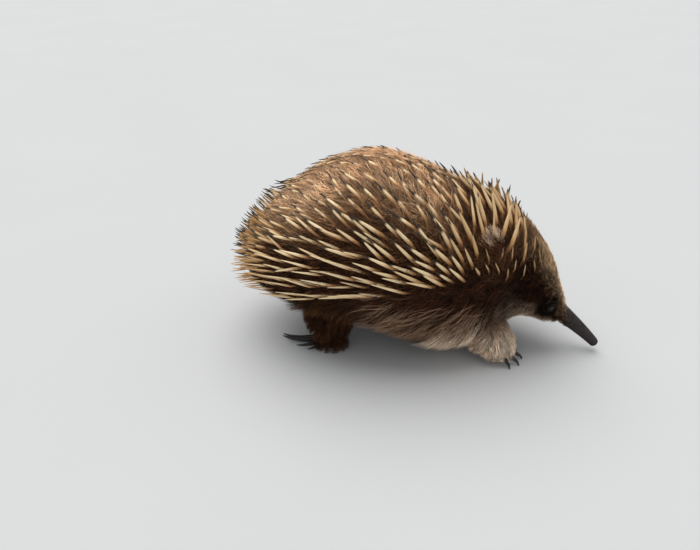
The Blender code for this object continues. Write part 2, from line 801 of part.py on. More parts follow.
def place_spines(coat):
    for row, (t, spacing) in enumerate(spine_rows()):
        edge = SPINE_EDGE - 46.0 * ramp(t, 6.0, FACE_SPINES_END)
        edge += (RUMP_EDGE - SPINE_EDGE) * (1.0 - ramp(t, 0.6, 1.9))
        for angle in even_angles(t, edge, spacing, row % 2):
            a = angle + chance.uniform(-2.0, 2.0)
            s = t + chance.uniform(-0.08, 0.08)
            root = core_point(s, a)
            normal = coat_normal(s, a)
            node = node_of(root - normal * SPINE_SINK, 0.0022)
            if node is None:
                continue
            way = spine_way(root, s, a, normal)
            nape = ramp(root.x, *NAPE_X) * (1.0 - ramp(s, 8.2, FACE_SPINES_END))
            proud = SPINE_PROUD + NAPE_PROUD * nape * (1.0 - ramp(abs(a), 30, 75))
            proud += RUMP_PROUD * (1.0 - ramp(s, 1.0, 2.6)) * ramp(abs(a), 50, 90)
            length = (core_depth(s, a) + proud) / max(way.dot(normal), 0.2)
            length = min(max(length, SPINE_LENGTHS[0]), SPINE_LENGTHS[1])
            length *= (1.0 - 0.5 * ramp(s, 8.0, FACE_SPINES_END)) * chance.uniform(0.88, 1.08)
            radius = SPINE_RADIUS + (HEAD_SPINE_RADIUS - SPINE_RADIUS) * ramp(s, HEAD_START, 8.0)
            coat.spine(node, root, way, normal, length, radius)


def place_tail_spines(coat):
    line = (TAIL_TIP - TAIL_ROOT).normalized()
    for f, count in TAIL_SPINES:
        centre = TAIL_ROOT.lerp(TAIL_TIP, f)
        for k, point in enumerate(tail_ring(f, count)):
            out = (point - centre).normalized()
            way = (line + out * 0.42 + UP * 0.1).normalized()
            length = TAIL_SPINE_LENGTH * chance.uniform(0.85, 1.1)
            coat.spine("tail", point, way, out, length, TAIL_SPINE_RADIUS)


def lie_way(normal, drop):
    """Along the surface towards the rump, with some way down."""
    back = -FORWARD - UP * drop
    return (back - normal * back.dot(normal)).normalized()


def place_back_locks(coat):
    """Broad locks between the spines, that hint at the deep fur of the back."""
    for row, t in enumerate(even_stations(0.7, 7.4, BACK_LOCK_SPACING)):
        for angle in even_angles(t, 108.0, BACK_LOCK_SPACING, row % 2):
            s = t + chance.uniform(-0.1, 0.1)
            root = core_point(s, angle)
            normal = coat_normal(s, angle)
            node = node_of(root - normal * LOCK_SINK, 0.006)
            if node is None:
                continue
            length, width = (size * chance.uniform(0.9, 1.1) for size in BACK_LOCK)
            way = (lie_way(normal, -0.35) + normal * 0.80).normalized()
            coat.lock(node, root, way, normal, length, width, -normal * 0.50)


def place_belly_locks(coat):
    """The fringe of the flanks and belly, that flows back and hangs towards the floor."""
    for edge, start in BELLY_ROWS:
        for sign in (-1, 1):
            for t in even_stations(start, 7.6, BELLY_LOCK_SPACING, edge * sign):
                s = t + chance.uniform(-0.06, 0.06)
                a = sign * (edge + chance.uniform(-3, 3))
                root = core_point(s, a)
                normal = coat_normal(s, a)
                node = node_of(root - normal * LOCK_SINK, 0.006)
                if node is None:
                    continue
                length, width = (size * chance.uniform(0.85, 1.1) for size in BELLY_LOCK)
                way = (lie_way(normal, 0.25) + normal * 0.45).normalized()
                coat.lock(node, root, way, normal, length, width, -normal * 0.30 - UP * 0.05)


def place_leg_locks(coat, name, leg, rows):
    """Locks that fan down over each leg towards its foot."""
    for t, count, length_share in rows:
        centre = leg.centre(t)
        for point in leg.ring(t, count):
            out = (point - centre).normalized()
            behind = max(0.0, -out.x)
            way = (-UP + out * 0.32 - FORWARD * (REAR_SWEEP * behind)).normalized()
            length, width = (size * chance.uniform(0.9, 1.1) for size in LEG_LOCK)
            length *= length_share * (1.0 + REAR_LONGER * behind)
            coat.lock(name, point, way, out, length, width, -UP * 0.1)


def place_throat_locks(coat):
    """Short locks along the throat."""
    for t, angles in THROAT_ROWS:
        for angle in angles:
            for sign in (-1, 1):
                a = sign * (angle + chance.uniform(-3, 3))
                root = core_point(t, a)
                normal = coat_normal(t, a)
                node = node_of(root - normal * LOCK_SINK, 0.004)
                if node is None:
                    continue
                length, width = (size * chance.uniform(0.9, 1.1) for size in FACE_LOCK)
                way = (lie_way(normal, 0.1) + normal * 0.3).normalized()
                coat.lock(node, root, way, normal, length, width, -normal * 0.2)


def make_bodies():
    """Every node without its spines and locks, with its material, and the four legs' lines."""
    fur = finish_of("fur", FUR, 0.85)
    beak_skin = finish_of("beak skin", BEAK_SKIN, 0.6)
    horn = finish_of("horn", HORN, 0.4)
    eye = finish_of("eye", EYE, 0.1)

    def margin_trunk():
        return trunk("margin", 2 * GAP)

    torso, neck, head = make_trunk_nodes()
    bodies = {torso: fur, neck: fur, head: fur}
    bodies[make_beak()] = beak_skin
    bodies[make_tail(margin_trunk())] = fur
    legs = {}
    lids = []
    sockets = []
    for side in ("right", "left"):
        eyeball, lid, socket = make_eye(side)
        bodies[eyeball] = eye
        lids.append(lid)
        sockets.append(socket)
        bodies[make_ear(side, margin_trunk())] = fur
        fore = sole_of(side, FORE_SOLE, LEFT_FORE_STEP)
        hind = sole_of(side, HIND_SOLE, LEFT_HIND_STEP)
        claws, fore_toes, hind_toes = make_claws(side, fore, hind)
        for claw in claws:
            bodies[claw] = horn
        for kind, sole, shoulder, radii, bow, ankle, size, toes in (
            ("fore", fore, FORE_SHOULDER, FORE_RADII, FORE_BOW, FORE_ANKLE, FORE_FOOT, fore_toes),
            ("hind", hind, HIND_HIP, HIND_RADII, 0.0, HIND_ANKLE, HIND_FOOT, hind_toes),
        ):
            leg = Leg(side, sole, shoulder, radii, bow)
            legs[f"{kind}leg_{side}"] = leg
            bodies[make_leg(f"{kind}leg_{side}", leg, ankle, margin_trunk())] = fur
            foot = make_foot(f"{kind}foot_{side}", sole, size, ankle)
            combine(foot, toes, "UNION")
            bodies[foot] = fur
    combine(head, lids, "UNION")
    carve(head, *sockets)
    return bodies, legs


def grow_coat(bodies, legs):
    """Sets the spines and locks on their nodes, the legs' first, since the trunk's give way."""
    coat = Coat(bodies)
    place_spines(coat)
    place_tail_spines(coat)
    for name, leg in legs.items():
        rows = FORE_LOCK_ROWS if name.startswith("fore") else HIND_LOCK_ROWS
        place_leg_locks(coat, name, leg, rows)
    place_belly_locks(coat)
    place_throat_locks(coat)
    place_back_locks(coat)
    return coat


def gather(bodies):
    """Puts every node in one collection, on a stand at the middle of the animal."""
    group = bpy.data.collections.new("echidna")
    bpy.context.scene.collection.children.link(group)
    stand = bpy.data.objects.new("echidna_centre", None)
    stand.location = CENTRE
    group.objects.link(stand)
    for body, material in bodies.items():
        group.objects.link(body)
        body.parent = stand
        body.data.materials.clear()
        body.data.materials.append(material)
        body.data.shade_smooth()
        body.data.set_sharp_from_angle(angle=math.radians(SHARP_ANGLE))


clear_scene()
animal, limbs = make_bodies()
fleece = grow_coat(animal, limbs)
fleece.fuse()
gather(animal)
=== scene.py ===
# %% [markdown]
# # A life-size model of an echidna
# This notebook dresses a CAD model of an echidna as a museum would: a skin, eyes, a beak and claws,
# then fur and spines. The CAD model comes in as a fixed frame, in metres, with +X the way the animal
# faces, +Y its left side and +Z up. Everything that is made here goes where the frame says.

import json
import math

import bmesh
import bpy
import numpy as np
from mathutils import Matrix, Vector
from mathutils.kdtree import KDTree

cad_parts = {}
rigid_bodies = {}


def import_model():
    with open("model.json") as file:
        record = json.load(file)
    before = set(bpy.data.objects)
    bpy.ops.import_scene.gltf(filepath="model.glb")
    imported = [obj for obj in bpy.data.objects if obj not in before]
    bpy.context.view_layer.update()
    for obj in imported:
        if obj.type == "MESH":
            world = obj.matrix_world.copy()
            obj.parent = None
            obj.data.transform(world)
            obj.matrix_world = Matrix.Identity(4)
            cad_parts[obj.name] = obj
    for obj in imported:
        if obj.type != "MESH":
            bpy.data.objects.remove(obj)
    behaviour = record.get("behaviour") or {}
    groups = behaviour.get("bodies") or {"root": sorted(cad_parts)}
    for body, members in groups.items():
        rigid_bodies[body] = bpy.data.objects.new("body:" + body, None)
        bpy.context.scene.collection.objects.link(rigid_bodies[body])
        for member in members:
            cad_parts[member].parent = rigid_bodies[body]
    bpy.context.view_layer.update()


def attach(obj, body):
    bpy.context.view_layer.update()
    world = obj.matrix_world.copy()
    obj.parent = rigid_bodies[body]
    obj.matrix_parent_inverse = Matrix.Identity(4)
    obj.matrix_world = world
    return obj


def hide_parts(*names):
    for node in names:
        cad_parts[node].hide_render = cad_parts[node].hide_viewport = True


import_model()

# %% [markdown]
# ## Camera, floor and light
# The camera stands where a person would crouch beside the animal, a little behind its shoulder, and
# looks down at it. The floor is pale and plain, and large enough to fill the picture. The light is that
# of an overcast day: a pale world all round, and one big soft lamp overhead.

# %% Camera
camera_data = bpy.data.cameras.new("camera")
camera_data.sensor_width = 36.0
camera_data.lens = 30.857
camera = bpy.data.objects.new("camera", camera_data)
camera.location = (0.015217, -0.589831, 0.39)
camera.rotation_euler = (math.radians(61.189), 0.0, math.radians(8.0))
bpy.context.collection.objects.link(camera)
bpy.context.scene.camera = camera

# %% Floor and light
FLOOR_SIZE = 18.0
LAMP_PLACE = Vector((-0.5, 0.55, 2.0))
LAMP_STRENGTH = 2.75
LAMP_SPREAD = 65.0
SKY_COLOUR = (0.95, 0.97, 1.0, 1.0)
SKY_STRENGTH = 0.68

floor_bm = bmesh.new()
bmesh.ops.create_grid(floor_bm, x_segments=1, y_segments=1, size=FLOOR_SIZE / 2)
floor_mesh = bpy.data.meshes.new("floor")
floor_bm.to_mesh(floor_mesh)
floor_bm.free()
floor = bpy.data.objects.new("floor", floor_mesh)
bpy.context.collection.objects.link(floor)

lamp_data = bpy.data.lights.new("lamp", "SUN")
lamp_data.energy = LAMP_STRENGTH
lamp_data.angle = math.radians(LAMP_SPREAD)
lamp = bpy.data.objects.new("lamp", lamp_data)
lamp.location = LAMP_PLACE
lamp.rotation_euler = (-LAMP_PLACE).to_track_quat("-Z", "Y").to_euler()
bpy.context.collection.objects.link(lamp)

world = bpy.data.worlds.new("studio")
world.use_nodes = True
sky = world.node_tree.nodes["Background"]
sky.inputs["Color"].default_value = SKY_COLOUR
sky.inputs["Strength"].default_value = SKY_STRENGTH
bpy.context.scene.world = world
bpy.context.scene.view_settings.view_transform = "Standard"

# %% [markdown]
# ## Materials as expressions
# A material is a small program of nodes. The class below wraps one output of a node, so that the maths
# between nodes can be written as `0.55 + grain * 0.35`, and each operator adds its node. Every other
# node comes from one method that takes the node's type, its settings and its sockets.

# %% Wires and materials
class Wire:
    """One output of a node, for use in expressions."""

    def __init__(self, tree, socket):
        self.tree = tree
        self.socket = socket

    def apply(self, operation, first, second):
        return add_node(self.tree, "ShaderNodeMath", {"operation": operation}, {0: first, 1: second}, "Value")

    def __add__(self, other):
        return self.apply("ADD", self, other)

    def __sub__(self, other):
        return self.apply("SUBTRACT", self, other)

    def __mul__(self, other):
        return self.apply("MULTIPLY", self, other)

    __radd__ = __add__
    __rmul__ = __mul__


def find_socket(sockets, key):
    if isinstance(key, int):
        return sockets[key]
    exact = [socket for socket in sockets if socket.identifier == key]
    return exact[0] if exact else sockets[key]


def add_node(tree, kind, settings, sockets, output):
    """Adds a node with its settings first, then its values and links, and returns one output."""
    node = tree.nodes.new(kind)
    for key, value in settings.items():
        if key == "stops":
            elements = node.color_ramp.elements
            while len(elements) > 1:
                elements.remove(elements[-1])
            for place, _ in value[1:]:
                elements.new(place)
            for element, (place, colour) in zip(elements, value):
                element.position = place
                element.color = (*colour, 1.0)
        else:
            setattr(node, key, value)
    for key, value in sockets.items():
        socket = find_socket(node.inputs, key)
        if isinstance(value, Wire):
            tree.links.new(value.socket, socket)
        elif socket.type == "RGBA" and len(value) == 3:
            socket.default_value = (*value, 1.0)
        else:
            socket.default_value = value
    return Wire(tree, find_socket(node.outputs, output))


class Finish:
    """A material under construction, round one Principled shader."""

    def __init__(self, name, **constants):
        self.material = bpy.data.materials.new(name)
        self.material.use_nodes = True
        self.tree = self.material.node_tree
        self.shader = self.tree.nodes["Principled BSDF"]
        for key, value in constants.items():
            self.shader.inputs[key.replace("_", " ")].default_value = value

    def node(self, kind, settings, sockets, output):
        return add_node(self.tree, kind, settings, sockets, output)

    def attribute(self, name, output="Fac"):
        return self.node("ShaderNodeAttribute", {"attribute_name": name}, {}, output)

    def place(self):
        return self.node("ShaderNodeTexCoord", {}, {}, "Object")

    def noise(self, scale, detail=3.0, stretch=None):
        place = self.place()
        if stretch:
            place = self.node("ShaderNodeMapping", {}, {"Vector": place, "Scale": stretch}, "Vector")
        return self.node("ShaderNodeTexNoise", {}, {"Vector": place, "Scale": scale, "Detail": detail}, "Fac")

    def cells(self, scale):
        return self.node("ShaderNodeTexVoronoi", {}, {"Vector": self.place(), "Scale": scale}, "Distance")

    def blend(self, factor, first, second, kind="MIX"):
        settings = {"data_type": "RGBA", "blend_type": kind}
        sockets = {"Factor_Float": factor, "A_Color": first, "B_Color": second}
        return self.node("ShaderNodeMix", settings, sockets, "Result_Color")

    def ramp(self, factor, *stops):
        return self.node("ShaderNodeValToRGB", {"stops": stops}, {"Fac": factor}, "Color")

    def between(self, value, low, high):
        """Turns low..high into 0..1, with smooth ends."""
        settings = {"interpolation_type": "SMOOTHSTEP"}
        sockets = {"Value": value, "From Min": low, "From Max": high}
        return self.node("ShaderNodeMapRange", settings, sockets, "Result")

    def bump(self, height, distance, strength=1.0):
        sockets = {"Height": height, "Distance": distance, "Strength": strength}
        return self.node("ShaderNodeBump", {}, sockets, "Normal")

    def feed(self, key, wire):
        self.tree.links.new(wire.socket, self.shader.inputs[key])


# %% [markdown]
# ## The floor's finish
# A matt, pale, slightly cloudy surface, like painted board.

# %% Floor finish
floor_finish = Finish("floor", Roughness=0.9, Specular_IOR_Level=0.2)
pale_shades = ((0.3, (0.490, 0.490, 0.485)), (0.7, (0.502, 0.502, 0.497)))
floor_finish.feed("Base Color", floor_finish.ramp(floor_finish.noise(3.0), *pale_shades))
floor_mesh.materials.append(floor_finish.material)

# %% [markdown]
# ## The shape of the animal as numbers
# The trunk and head are one form, given by stations from the rump (0) to the root of the beak (14).
# Each station says where the crest and the belly are, how wide the body is there and how far it is
# shifted aside. These are the numbers the solids were made from, to the outside of the coat. A curve
# through the stations gives a point for every pair of numbers: the station `u`, and the angle `v` from
# the crest. Fur and spines need such a map, because each hair has to know which way is back.

# %% Numbers of the body
CENTRE = np.array([-0.0132, 0.0, 0.0])
# Crest x and z, belly x and z, half the width, and the shift to the side.
STATIONS = np.array([
    (-0.166, 0.117, -0.166, 0.078, 0.034, 0.000),
    (-0.150, 0.139, -0.151, 0.064, 0.060, 0.000),
    (-0.120, 0.169, -0.122, 0.052, 0.085, 0.000),
    (-0.080, 0.195, -0.083, 0.043, 0.102, 0.000),
    (-0.030, 0.208, -0.033, 0.034, 0.107, 0.000),
    (0.020, 0.198, 0.014, 0.020, 0.104, 0.000),
    (0.062, 0.179, 0.050, 0.012, 0.094, 0.000),
    (0.094, 0.168, 0.082, 0.016, 0.079, 0.000),
    (0.122, 0.151, 0.106, 0.028, 0.063, -0.001),
    (0.143, 0.128, 0.124, 0.035, 0.049, -0.003),
    (0.160, 0.104, 0.140, 0.034, 0.039, -0.005),
    (0.171, 0.081, 0.154, 0.031, 0.030, -0.008),
    (0.179, 0.062, 0.166, 0.030, 0.020, -0.010),
    (0.184, 0.049, 0.174, 0.032, 0.012, -0.012),
    (0.192, 0.040, 0.184, 0.026, 0.009, -0.014),
])
RUMP_POLE = np.array([-0.172, 0.0, 0.0975]) + CENTRE
DOME_POWER = 2.05
BELLY_POWER = 2.7
LAST = len(STATIONS) - 1
UP = np.array([0.0, 0.0, 1.0])
FORWARD = np.array([1.0, 0.0, 0.0])

# %% Curves and ramps
def smooth(rows, t):
    """A curve through the rows, at places t counted in rows."""
    rows = np.asarray(rows, float)
    t = np.clip(t, 0.0, len(rows) - 1.0)
    i = np.minimum(np.floor(t).astype(int), len(rows) - 2)
    f = (t - i)[..., None]
    before, first, second, after = (rows[np.clip(i + k, 0, len(rows) - 1)] for k in (-1, 0, 1, 2))
    bend = 2 * before - 5 * first + 4 * second - after
    twist = -before + 3 * first - 3 * second + after
    return 0.5 * (2 * first + (second - before) * f + bend * f**2 + twist * f**3)


def ramp(value, low, high):
    """0 below low, 1 above high, and smooth between them."""
    f = np.clip((value - low) / (high - low), 0.0, 1.0)
    return f * f * (3.0 - 2.0 * f)


def fall(value, low, high):
    """1 below low, 0 above high, and smooth between them."""
    return 1.0 - ramp(value, low, high)


def look_up(value, table):
    """Straight lines between the pairs of a table."""
    return np.interp(value, *zip(*table))


def unit(vectors):
    return vectors / np.maximum(np.linalg.norm(vectors, axis=-1, keepdims=True), 1e-9)


def dot(a, b):
    return np.sum(a * b, axis=-1, keepdims=True)


def mix(a, b, share):
    """From a to b by a share. Where a or b is a colour or a point, the share goes for all its numbers."""
    share = np.asarray(share)
    if max(np.ndim(a), np.ndim(b)) > np.ndim(share):
        share = share[..., None]
    return a + (b - a) * share


DRIFT_WAVES = 7


def drift(points, size, seed):
    """A smooth, uneven number from -1 to 1 that changes over about that size."""
    chance = np.random.default_rng(seed)
    total = 0.0
    for _ in range(DRIFT_WAVES):
        way = unit(chance.normal(size=3)) * (math.tau / size) * chance.uniform(0.55, 1.6)
        total = total + np.sin(points @ way + chance.uniform(0.0, math.tau))
    return np.clip(total / 3.0, -1.0, 1.0)


# %% [markdown]
# ## Forms
# A form is a surface with its own map. The body, each leg, each foot, the tail and each ear is one.
# `frame` gives a point, the two directions along the surface and the way out of it. `plot` is the
# form's rectangle on the flat unwrap that the tufts' own texture map uses.

# %% The Form class
class Form:
    """A surface given by u along it and v, an angle in degrees, round it."""

    def __init__(self, place, middle, ends, plot):
        self.place = place
        self.middle = middle
        self.ends = ends
        self.plot = plot

    def frame(self, u, v):
        low, high = self.ends
        step = (high - low) * 0.002
        # The poles have no direction, so places keep a hair's breadth away from them.
        u = np.clip(u, low + step * 0.2, high - step * 0.2)
        u0 = np.clip(u - step, low, high)
        u1 = np.clip(u + step, low, high)
        point = self.place(u, v)
        along = (self.place(u1, v) - self.place(u0, v)) / (u1 - u0)[..., None]
        round_it = self.place(u, v + 0.5) - self.place(u, v - 0.5)
        normal = unit(np.cross(along, round_it))
        out = point - self.middle(u)
        facing = np.where(dot(normal, out) < 0.0, -1.0, 1.0)
        return point, along, round_it, normal * facing

    def on_plot(self, u, v):
        """Where a place lies on the flat unwrap."""
        low, high = self.ends
        left, bottom, right, top = self.plot
        across = (np.clip(u, low, high) - low) / (high - low)
        around = ((v + 180.0) % 360.0) / 360.0
        return np.stack([left + (right - left) * across, bottom + (top - bottom) * around], -1)


def body_middle(t):
    crest_x, crest_z, belly_x, belly_z, _, shift = np.moveaxis(smooth(STATIONS, t), -1, 0)
    middle = np.stack([(crest_x + belly_x) / 2, shift, (crest_z + belly_z) / 2], -1) + CENTRE
    rear = np.clip(-t, 0.0, 1.0)[..., None]
    front = np.clip(t - LAST, 0.0, 1.0)[..., None]
    return middle + (RUMP_POLE - middle) * rear + FORWARD * 0.003 * front


def body_place(t, angle):
    crest_x, crest_z, belly_x, belly_z, half, shift = np.moveaxis(smooth(STATIONS, t), -1, 0)
    c = np.cos(np.radians(angle))
    s = np.sin(np.radians(angle))
    power = 2.0 / np.where(c > 0, DOME_POWER, BELLY_POWER)
    high = np.sign(c) * np.abs(c) ** power
    wide = np.sign(s) * np.abs(s) ** power
    x = (crest_x + belly_x) / 2 + high * (crest_x - belly_x) / 2
    z = (crest_z + belly_z) / 2 + high * (crest_z - belly_z) / 2
    ring = np.stack([x, shift - half * wide, z], -1) + CENTRE
    shrink = np.clip(1.0 + t, 0.0, 1.0) * np.clip(LAST + 1.0 - t, 0.0, 1.0)
    centre = body_middle(t)
    return centre + (ring - body_middle(np.clip(t, 0.0, LAST))) * shrink[..., None]


body = Form(body_place, body_middle, (-1.0, LAST + 1.0), (0.01, 0.30, 0.985, 0.985))
print("Back of the body at", np.round(body.place(np.array([4.0]), np.array([0.0]))[0], 4))

# %% [markdown]
# ## Legs, feet and tail
# A leg is a bent line with a radius at four places. A foot is a flattened ball, cut flat at the floor,
# and the tail is a short stub that the rump's spines hide.

# %% Legs, feet and tail
FORE_SOLE = np.array([0.109, -0.048, 0.0])
HIND_SOLE = np.array([-0.069, -0.049, 0.0])
LEFT_FORE_STEP = -0.012
LEFT_HIND_STEP = 0.022
LEG_SHARES = np.array([0.0, 0.38, 0.72, 1.0])
LEG_BOWS = np.array([0.0, 1.0, 0.7, 0.0])
LEG_OUT = 0.002
FORE_SHOULDER = np.array([-0.030, 0.012, 0.062])
HIND_HIP = np.array([0.0, 0.004, 0.066])
FORE_RADII = (0.021, 0.0215, 0.0203, 0.0165)
HIND_RADII = (0.027, 0.0235, 0.0180, 0.0130)
FORE_BOW = 0.004
FORE_FOOT = (0.030, 0.026, 0.017)
HIND_FOOT = (0.029, 0.026, 0.016)
FOOT_CENTRE = 0.38
FOOT_SWELL = 0.675
ANKLE_HEIGHT = 0.012
LEG_FLATNESS = 0.94
TAIL_FLATNESS = 1.2
TAIL_ROOT = np.array([-0.136, 0.0, 0.086]) + CENTRE
TAIL_TIP = np.array([-0.169, 0.0, 0.070]) + CENTRE
TAIL_RADII = (0.016, 0.015, 0.012, 0.004)
SIGNS = {"right": -1.0, "left": 1.0}


def sole_of(side, sole, step):
    placed = sole + CENTRE
    if side == "left":
        placed = placed * (1.0, -1.0, 1.0) + (step, 0.0, 0.0)
    return placed


def leg_form(side, sole, top, radii, bow, plot):
    sign = SIGNS[side]
    top = sole + top * (1.0, -sign, 1.0)
    ankle = sole + UP * ANKLE_HEIGHT
    points = top + (ankle - top) * LEG_SHARES[:, None]
    points = points + np.outer(LEG_BOWS, (bow, sign * LEG_OUT, 0.0))
    sizes = np.array(radii)[:, None]

    def middle(t):
        return smooth(points, t)

    def place(t, angle):
        a = np.radians(angle)
        ring = np.stack([np.cos(a), np.sin(a) * LEG_FLATNESS, np.zeros_like(a)], -1)
        return middle(t) + ring * smooth(sizes, t)

    return Form(place, middle, (0.0, 3.0), plot)


def ball(polar, turn):
    """Points of a ball of radius 1, from the angle to its pole and the turn about it, in radians."""
    return np.stack([np.sin(polar) * np.cos(turn), np.sin(polar) * np.sin(turn), np.cos(polar)], -1)


def above_floor(point, height=0.0):
    """Points with none lower than the floor, or than a height over it."""
    point[..., 2] = np.maximum(point[..., 2], height)
    return point


def ball_form(centre, axes, halves, ends, plot):
    """A stretched ball: u is the angle from its third axis, v the turn about it."""

    def middle(u):
        return np.broadcast_to(centre, u.shape + (3,))

    def place(u, angle):
        local = ball(np.radians(u), np.radians(angle)) * halves
        return above_floor(centre + local @ axes, 0.0004)

    return Form(place, middle, ends, plot)


def foot_halves(foot):
    return np.array([foot[0] / 2, foot[1] / 2, foot[2] * FOOT_SWELL])


def tail_middle(f):
    return TAIL_ROOT + (TAIL_TIP - TAIL_ROOT) * f[..., None]


def tail_place(f, angle):
    line = unit(TAIL_TIP - TAIL_ROOT)
    over = unit(UP - line * (UP @ line))
    aside = np.cross(line, over)
    a = np.radians(angle)[..., None]
    size = smooth(np.array(TAIL_RADII)[:, None], f * 3.0)
    return tail_middle(f) + (over * np.cos(a) + aside * np.sin(a) * TAIL_FLATNESS) * size


# %% The four limbs and the tail
SIDES = ("right", "left")
# Sole, step of the left foot, top of the leg over the sole, radii, forward bow, and the foot's sizes.
LIMBS = {
    "fore": (FORE_SOLE, LEFT_FORE_STEP, FORE_SHOULDER, FORE_RADII, FORE_BOW, FORE_FOOT),
    "hind": (HIND_SOLE, LEFT_HIND_STEP, HIND_HIP, HIND_RADII, 0.0, HIND_FOOT),
}
soles = {}
legs = {}
feet = {}
for column, side in enumerate(SIDES):
    for row, (limb, (sole, step, top, radii, bow, foot)) in enumerate(LIMBS.items()):
        key = f"{limb}_{side}"
        soles[key] = sole_of(side, sole, step)
        # Each limb has a strip of the flat unwrap, the leg below and the foot above it.
        left = 0.01 + 0.245 * (column * 2 + row)
        right = left + 0.235
        legs[key] = leg_form(side, soles[key], top, radii, bow, (left, 0.01, right, 0.145))
        centre = soles[key] + UP * foot[2] * FOOT_CENTRE
        feet[key] = ball_form(centre, np.eye(3), foot_halves(foot), (4.0, 108.0), (left, 0.15, right, 0.215))
tail = Form(tail_place, tail_middle, (0.0, 1.0), (0.01, 0.22, 0.30, 0.29))
print("Soles:", {key: np.round(sole, 4).tolist() for key, sole in soles.items()})

# %% [markdown]
# ## How deep the coat is
# The skin lies under the outside of the coat by the depth of the fur: a good centimetre on the back,
# less under the belly, and only a few millimetres on the face. It thins to almost nothing where the
# bare beak begins.

# %% Depth of the coat
def chin_share(t, side):
    """1 under the chin, 0 elsewhere. The skin is deeper and the hair lower there, so the chin is slim."""
    return ramp(side, 104.0, 132.0) * ramp(t, 8.6, 9.8) * fall(t, 12.0, 13.4)


def coat_depth(t, angle):
    side = np.abs(angle)
    trunk = 0.0115 - 0.0030 * ramp(side, 105.0, 150.0)
    face = 0.0042 - 0.0030 * ramp(t, 12.0, 14.0) + 0.0045 * chin_share(t, side)
    return mix(trunk, face, ramp(t, 7.2, 9.6))


def body_skin(t, angle):
    point, _, _, normal = body.frame(t, angle)
    return point - normal * coat_depth(t, angle)[..., None]


# %% [markdown]
# ## Places of the eyes and ears
# An eye or ear sits at a station and an angle of the body's map, sunk a little under the outside of the
# coat. Three directions belong to each place: ahead, upward and outward.

# %% Eyes and ears: places on the head
EYE_RADIUS = 0.0045
EYE_STATION = 10.84
EYE_ANGLE = 84.0
EYE_SINK = 0.0036
EAR_STATION = 7.24
EAR_ANGLE = 49.5
EAR_SINK = 0.0068
EAR_HALF = np.array([0.0068, 0.0100, 0.0085])
EAR_HOLLOW = np.array([0.0048, 0.0078, 0.0080])
EAR_OPENING = np.array([0.0034, 0.0, 0.0042])


def head_axes(station, angle):
    """A place on the head, with the ways ahead, upward and outward there."""
    point, _, _, normal = body.frame(np.array([station]), np.array([angle]))
    out = normal[0]
    upward = unit(UP - out * (UP @ out))
    ahead = np.cross(upward, out) * (1.0 if angle > 0 else -1.0)
    return point[0], np.array([ahead, upward, out])


eyes = {}
ears = {}
for side, sign in SIGNS.items():
    point, axes = head_axes(EYE_STATION, -sign * EYE_ANGLE)
    eyes[side] = (point - axes[2] * EYE_SINK, axes)
    point, axes = head_axes(EAR_STATION, -sign * EAR_ANGLE)
    ears[side] = (point - axes[2] * EAR_SINK, axes)
ear_forms = {}
for column, (side, (centre, axes)) in enumerate(ears.items()):
    plot = (0.35 + 0.3 * column, 0.22, 0.62 + 0.3 * column, 0.29)
    ear_forms[side] = ball_form(centre, axes, EAR_HALF, (4.0, 140.0), plot)
print("Eyes at", {side: np.round(eye[0], 4).tolist() for side, eye in eyes.items()})

# %% [markdown]
# ## The skin
# On the animal one skin covers everything, so the skin here is one closed mesh. Balls are wrapped onto
# the forms, overlapping where a leg meets the belly. A voxel remesh then melts them into one surface,
# as clay would be smeared over an armature, and a few rounds of smoothing soften the joins. Lids,
# folds and ear cups are too fine for the voxels, so they are joined on afterwards by a Boolean union,
# and a ball a little larger than the eye cuts its socket.

# %% Helpers for meshes
def new_object(name, bm):
    mesh = bpy.data.meshes.new(name)
    for face in bm.faces:
        face.smooth = True
    bm.to_mesh(mesh)
    bm.free()
    made = bpy.data.objects.new(name, mesh)
    bpy.context.collection.objects.link(made)
    return made


def wrap_ball(bm, sides, rows, place):
    """Adds a ball and moves its vertices by place(share from pole to pole, angle in degrees)."""
    made = bmesh.ops.create_uvsphere(bm, u_segments=sides, v_segments=rows, radius=1.0)["verts"]
    cos = np.array([vertex.co for vertex in made])
    share = np.arccos(np.clip(cos[:, 2], -1.0, 1.0)) / math.pi
    angle = np.degrees(np.arctan2(cos[:, 1], cos[:, 0]))
    for vertex, point in zip(made, place(share, angle)):
        vertex.co = point


def form_ball(bm, form, sides, rows, depth):
    """A ball wrapped onto a form, a depth inside it, with its poles on the form's middle."""
    low, high = form.ends

    def place(share, angle):
        u = low + (high - low) * share
        point, _, _, normal = form.frame(u, angle)
        point = point - normal * depth(u, angle)[..., None]
        pole = (share < 1e-6) | (share > 1.0 - 1e-6)
        point[pole] = form.middle(u)[pole]
        return point

    wrap_ball(bm, sides, rows, place)


def apply_modifiers(made):
    """Gives the object the mesh that its modifiers make of it."""
    depsgraph = bpy.context.evaluated_depsgraph_get()
    mesh = bpy.data.meshes.new_from_object(made.evaluated_get(depsgraph))
    mesh.name = made.name
    old = made.data
    made.modifiers.clear()
    made.data = mesh
    bpy.data.meshes.remove(old)


def store(made, key, values):
    """Keeps one number for each vertex, for the finish to read."""
    made.data.attributes.new(key, "FLOAT", "POINT").data.foreach_set("value", np.array(values, float))


# %% Balls under the skin
LEG_DEPTH = 0.0035
FOOT_DEPTH = 0.0015
TAIL_DEPTH = 0.003


def constant(value):
    """The same number at every place of a form."""
    return lambda u, v: np.full(np.shape(u), value)


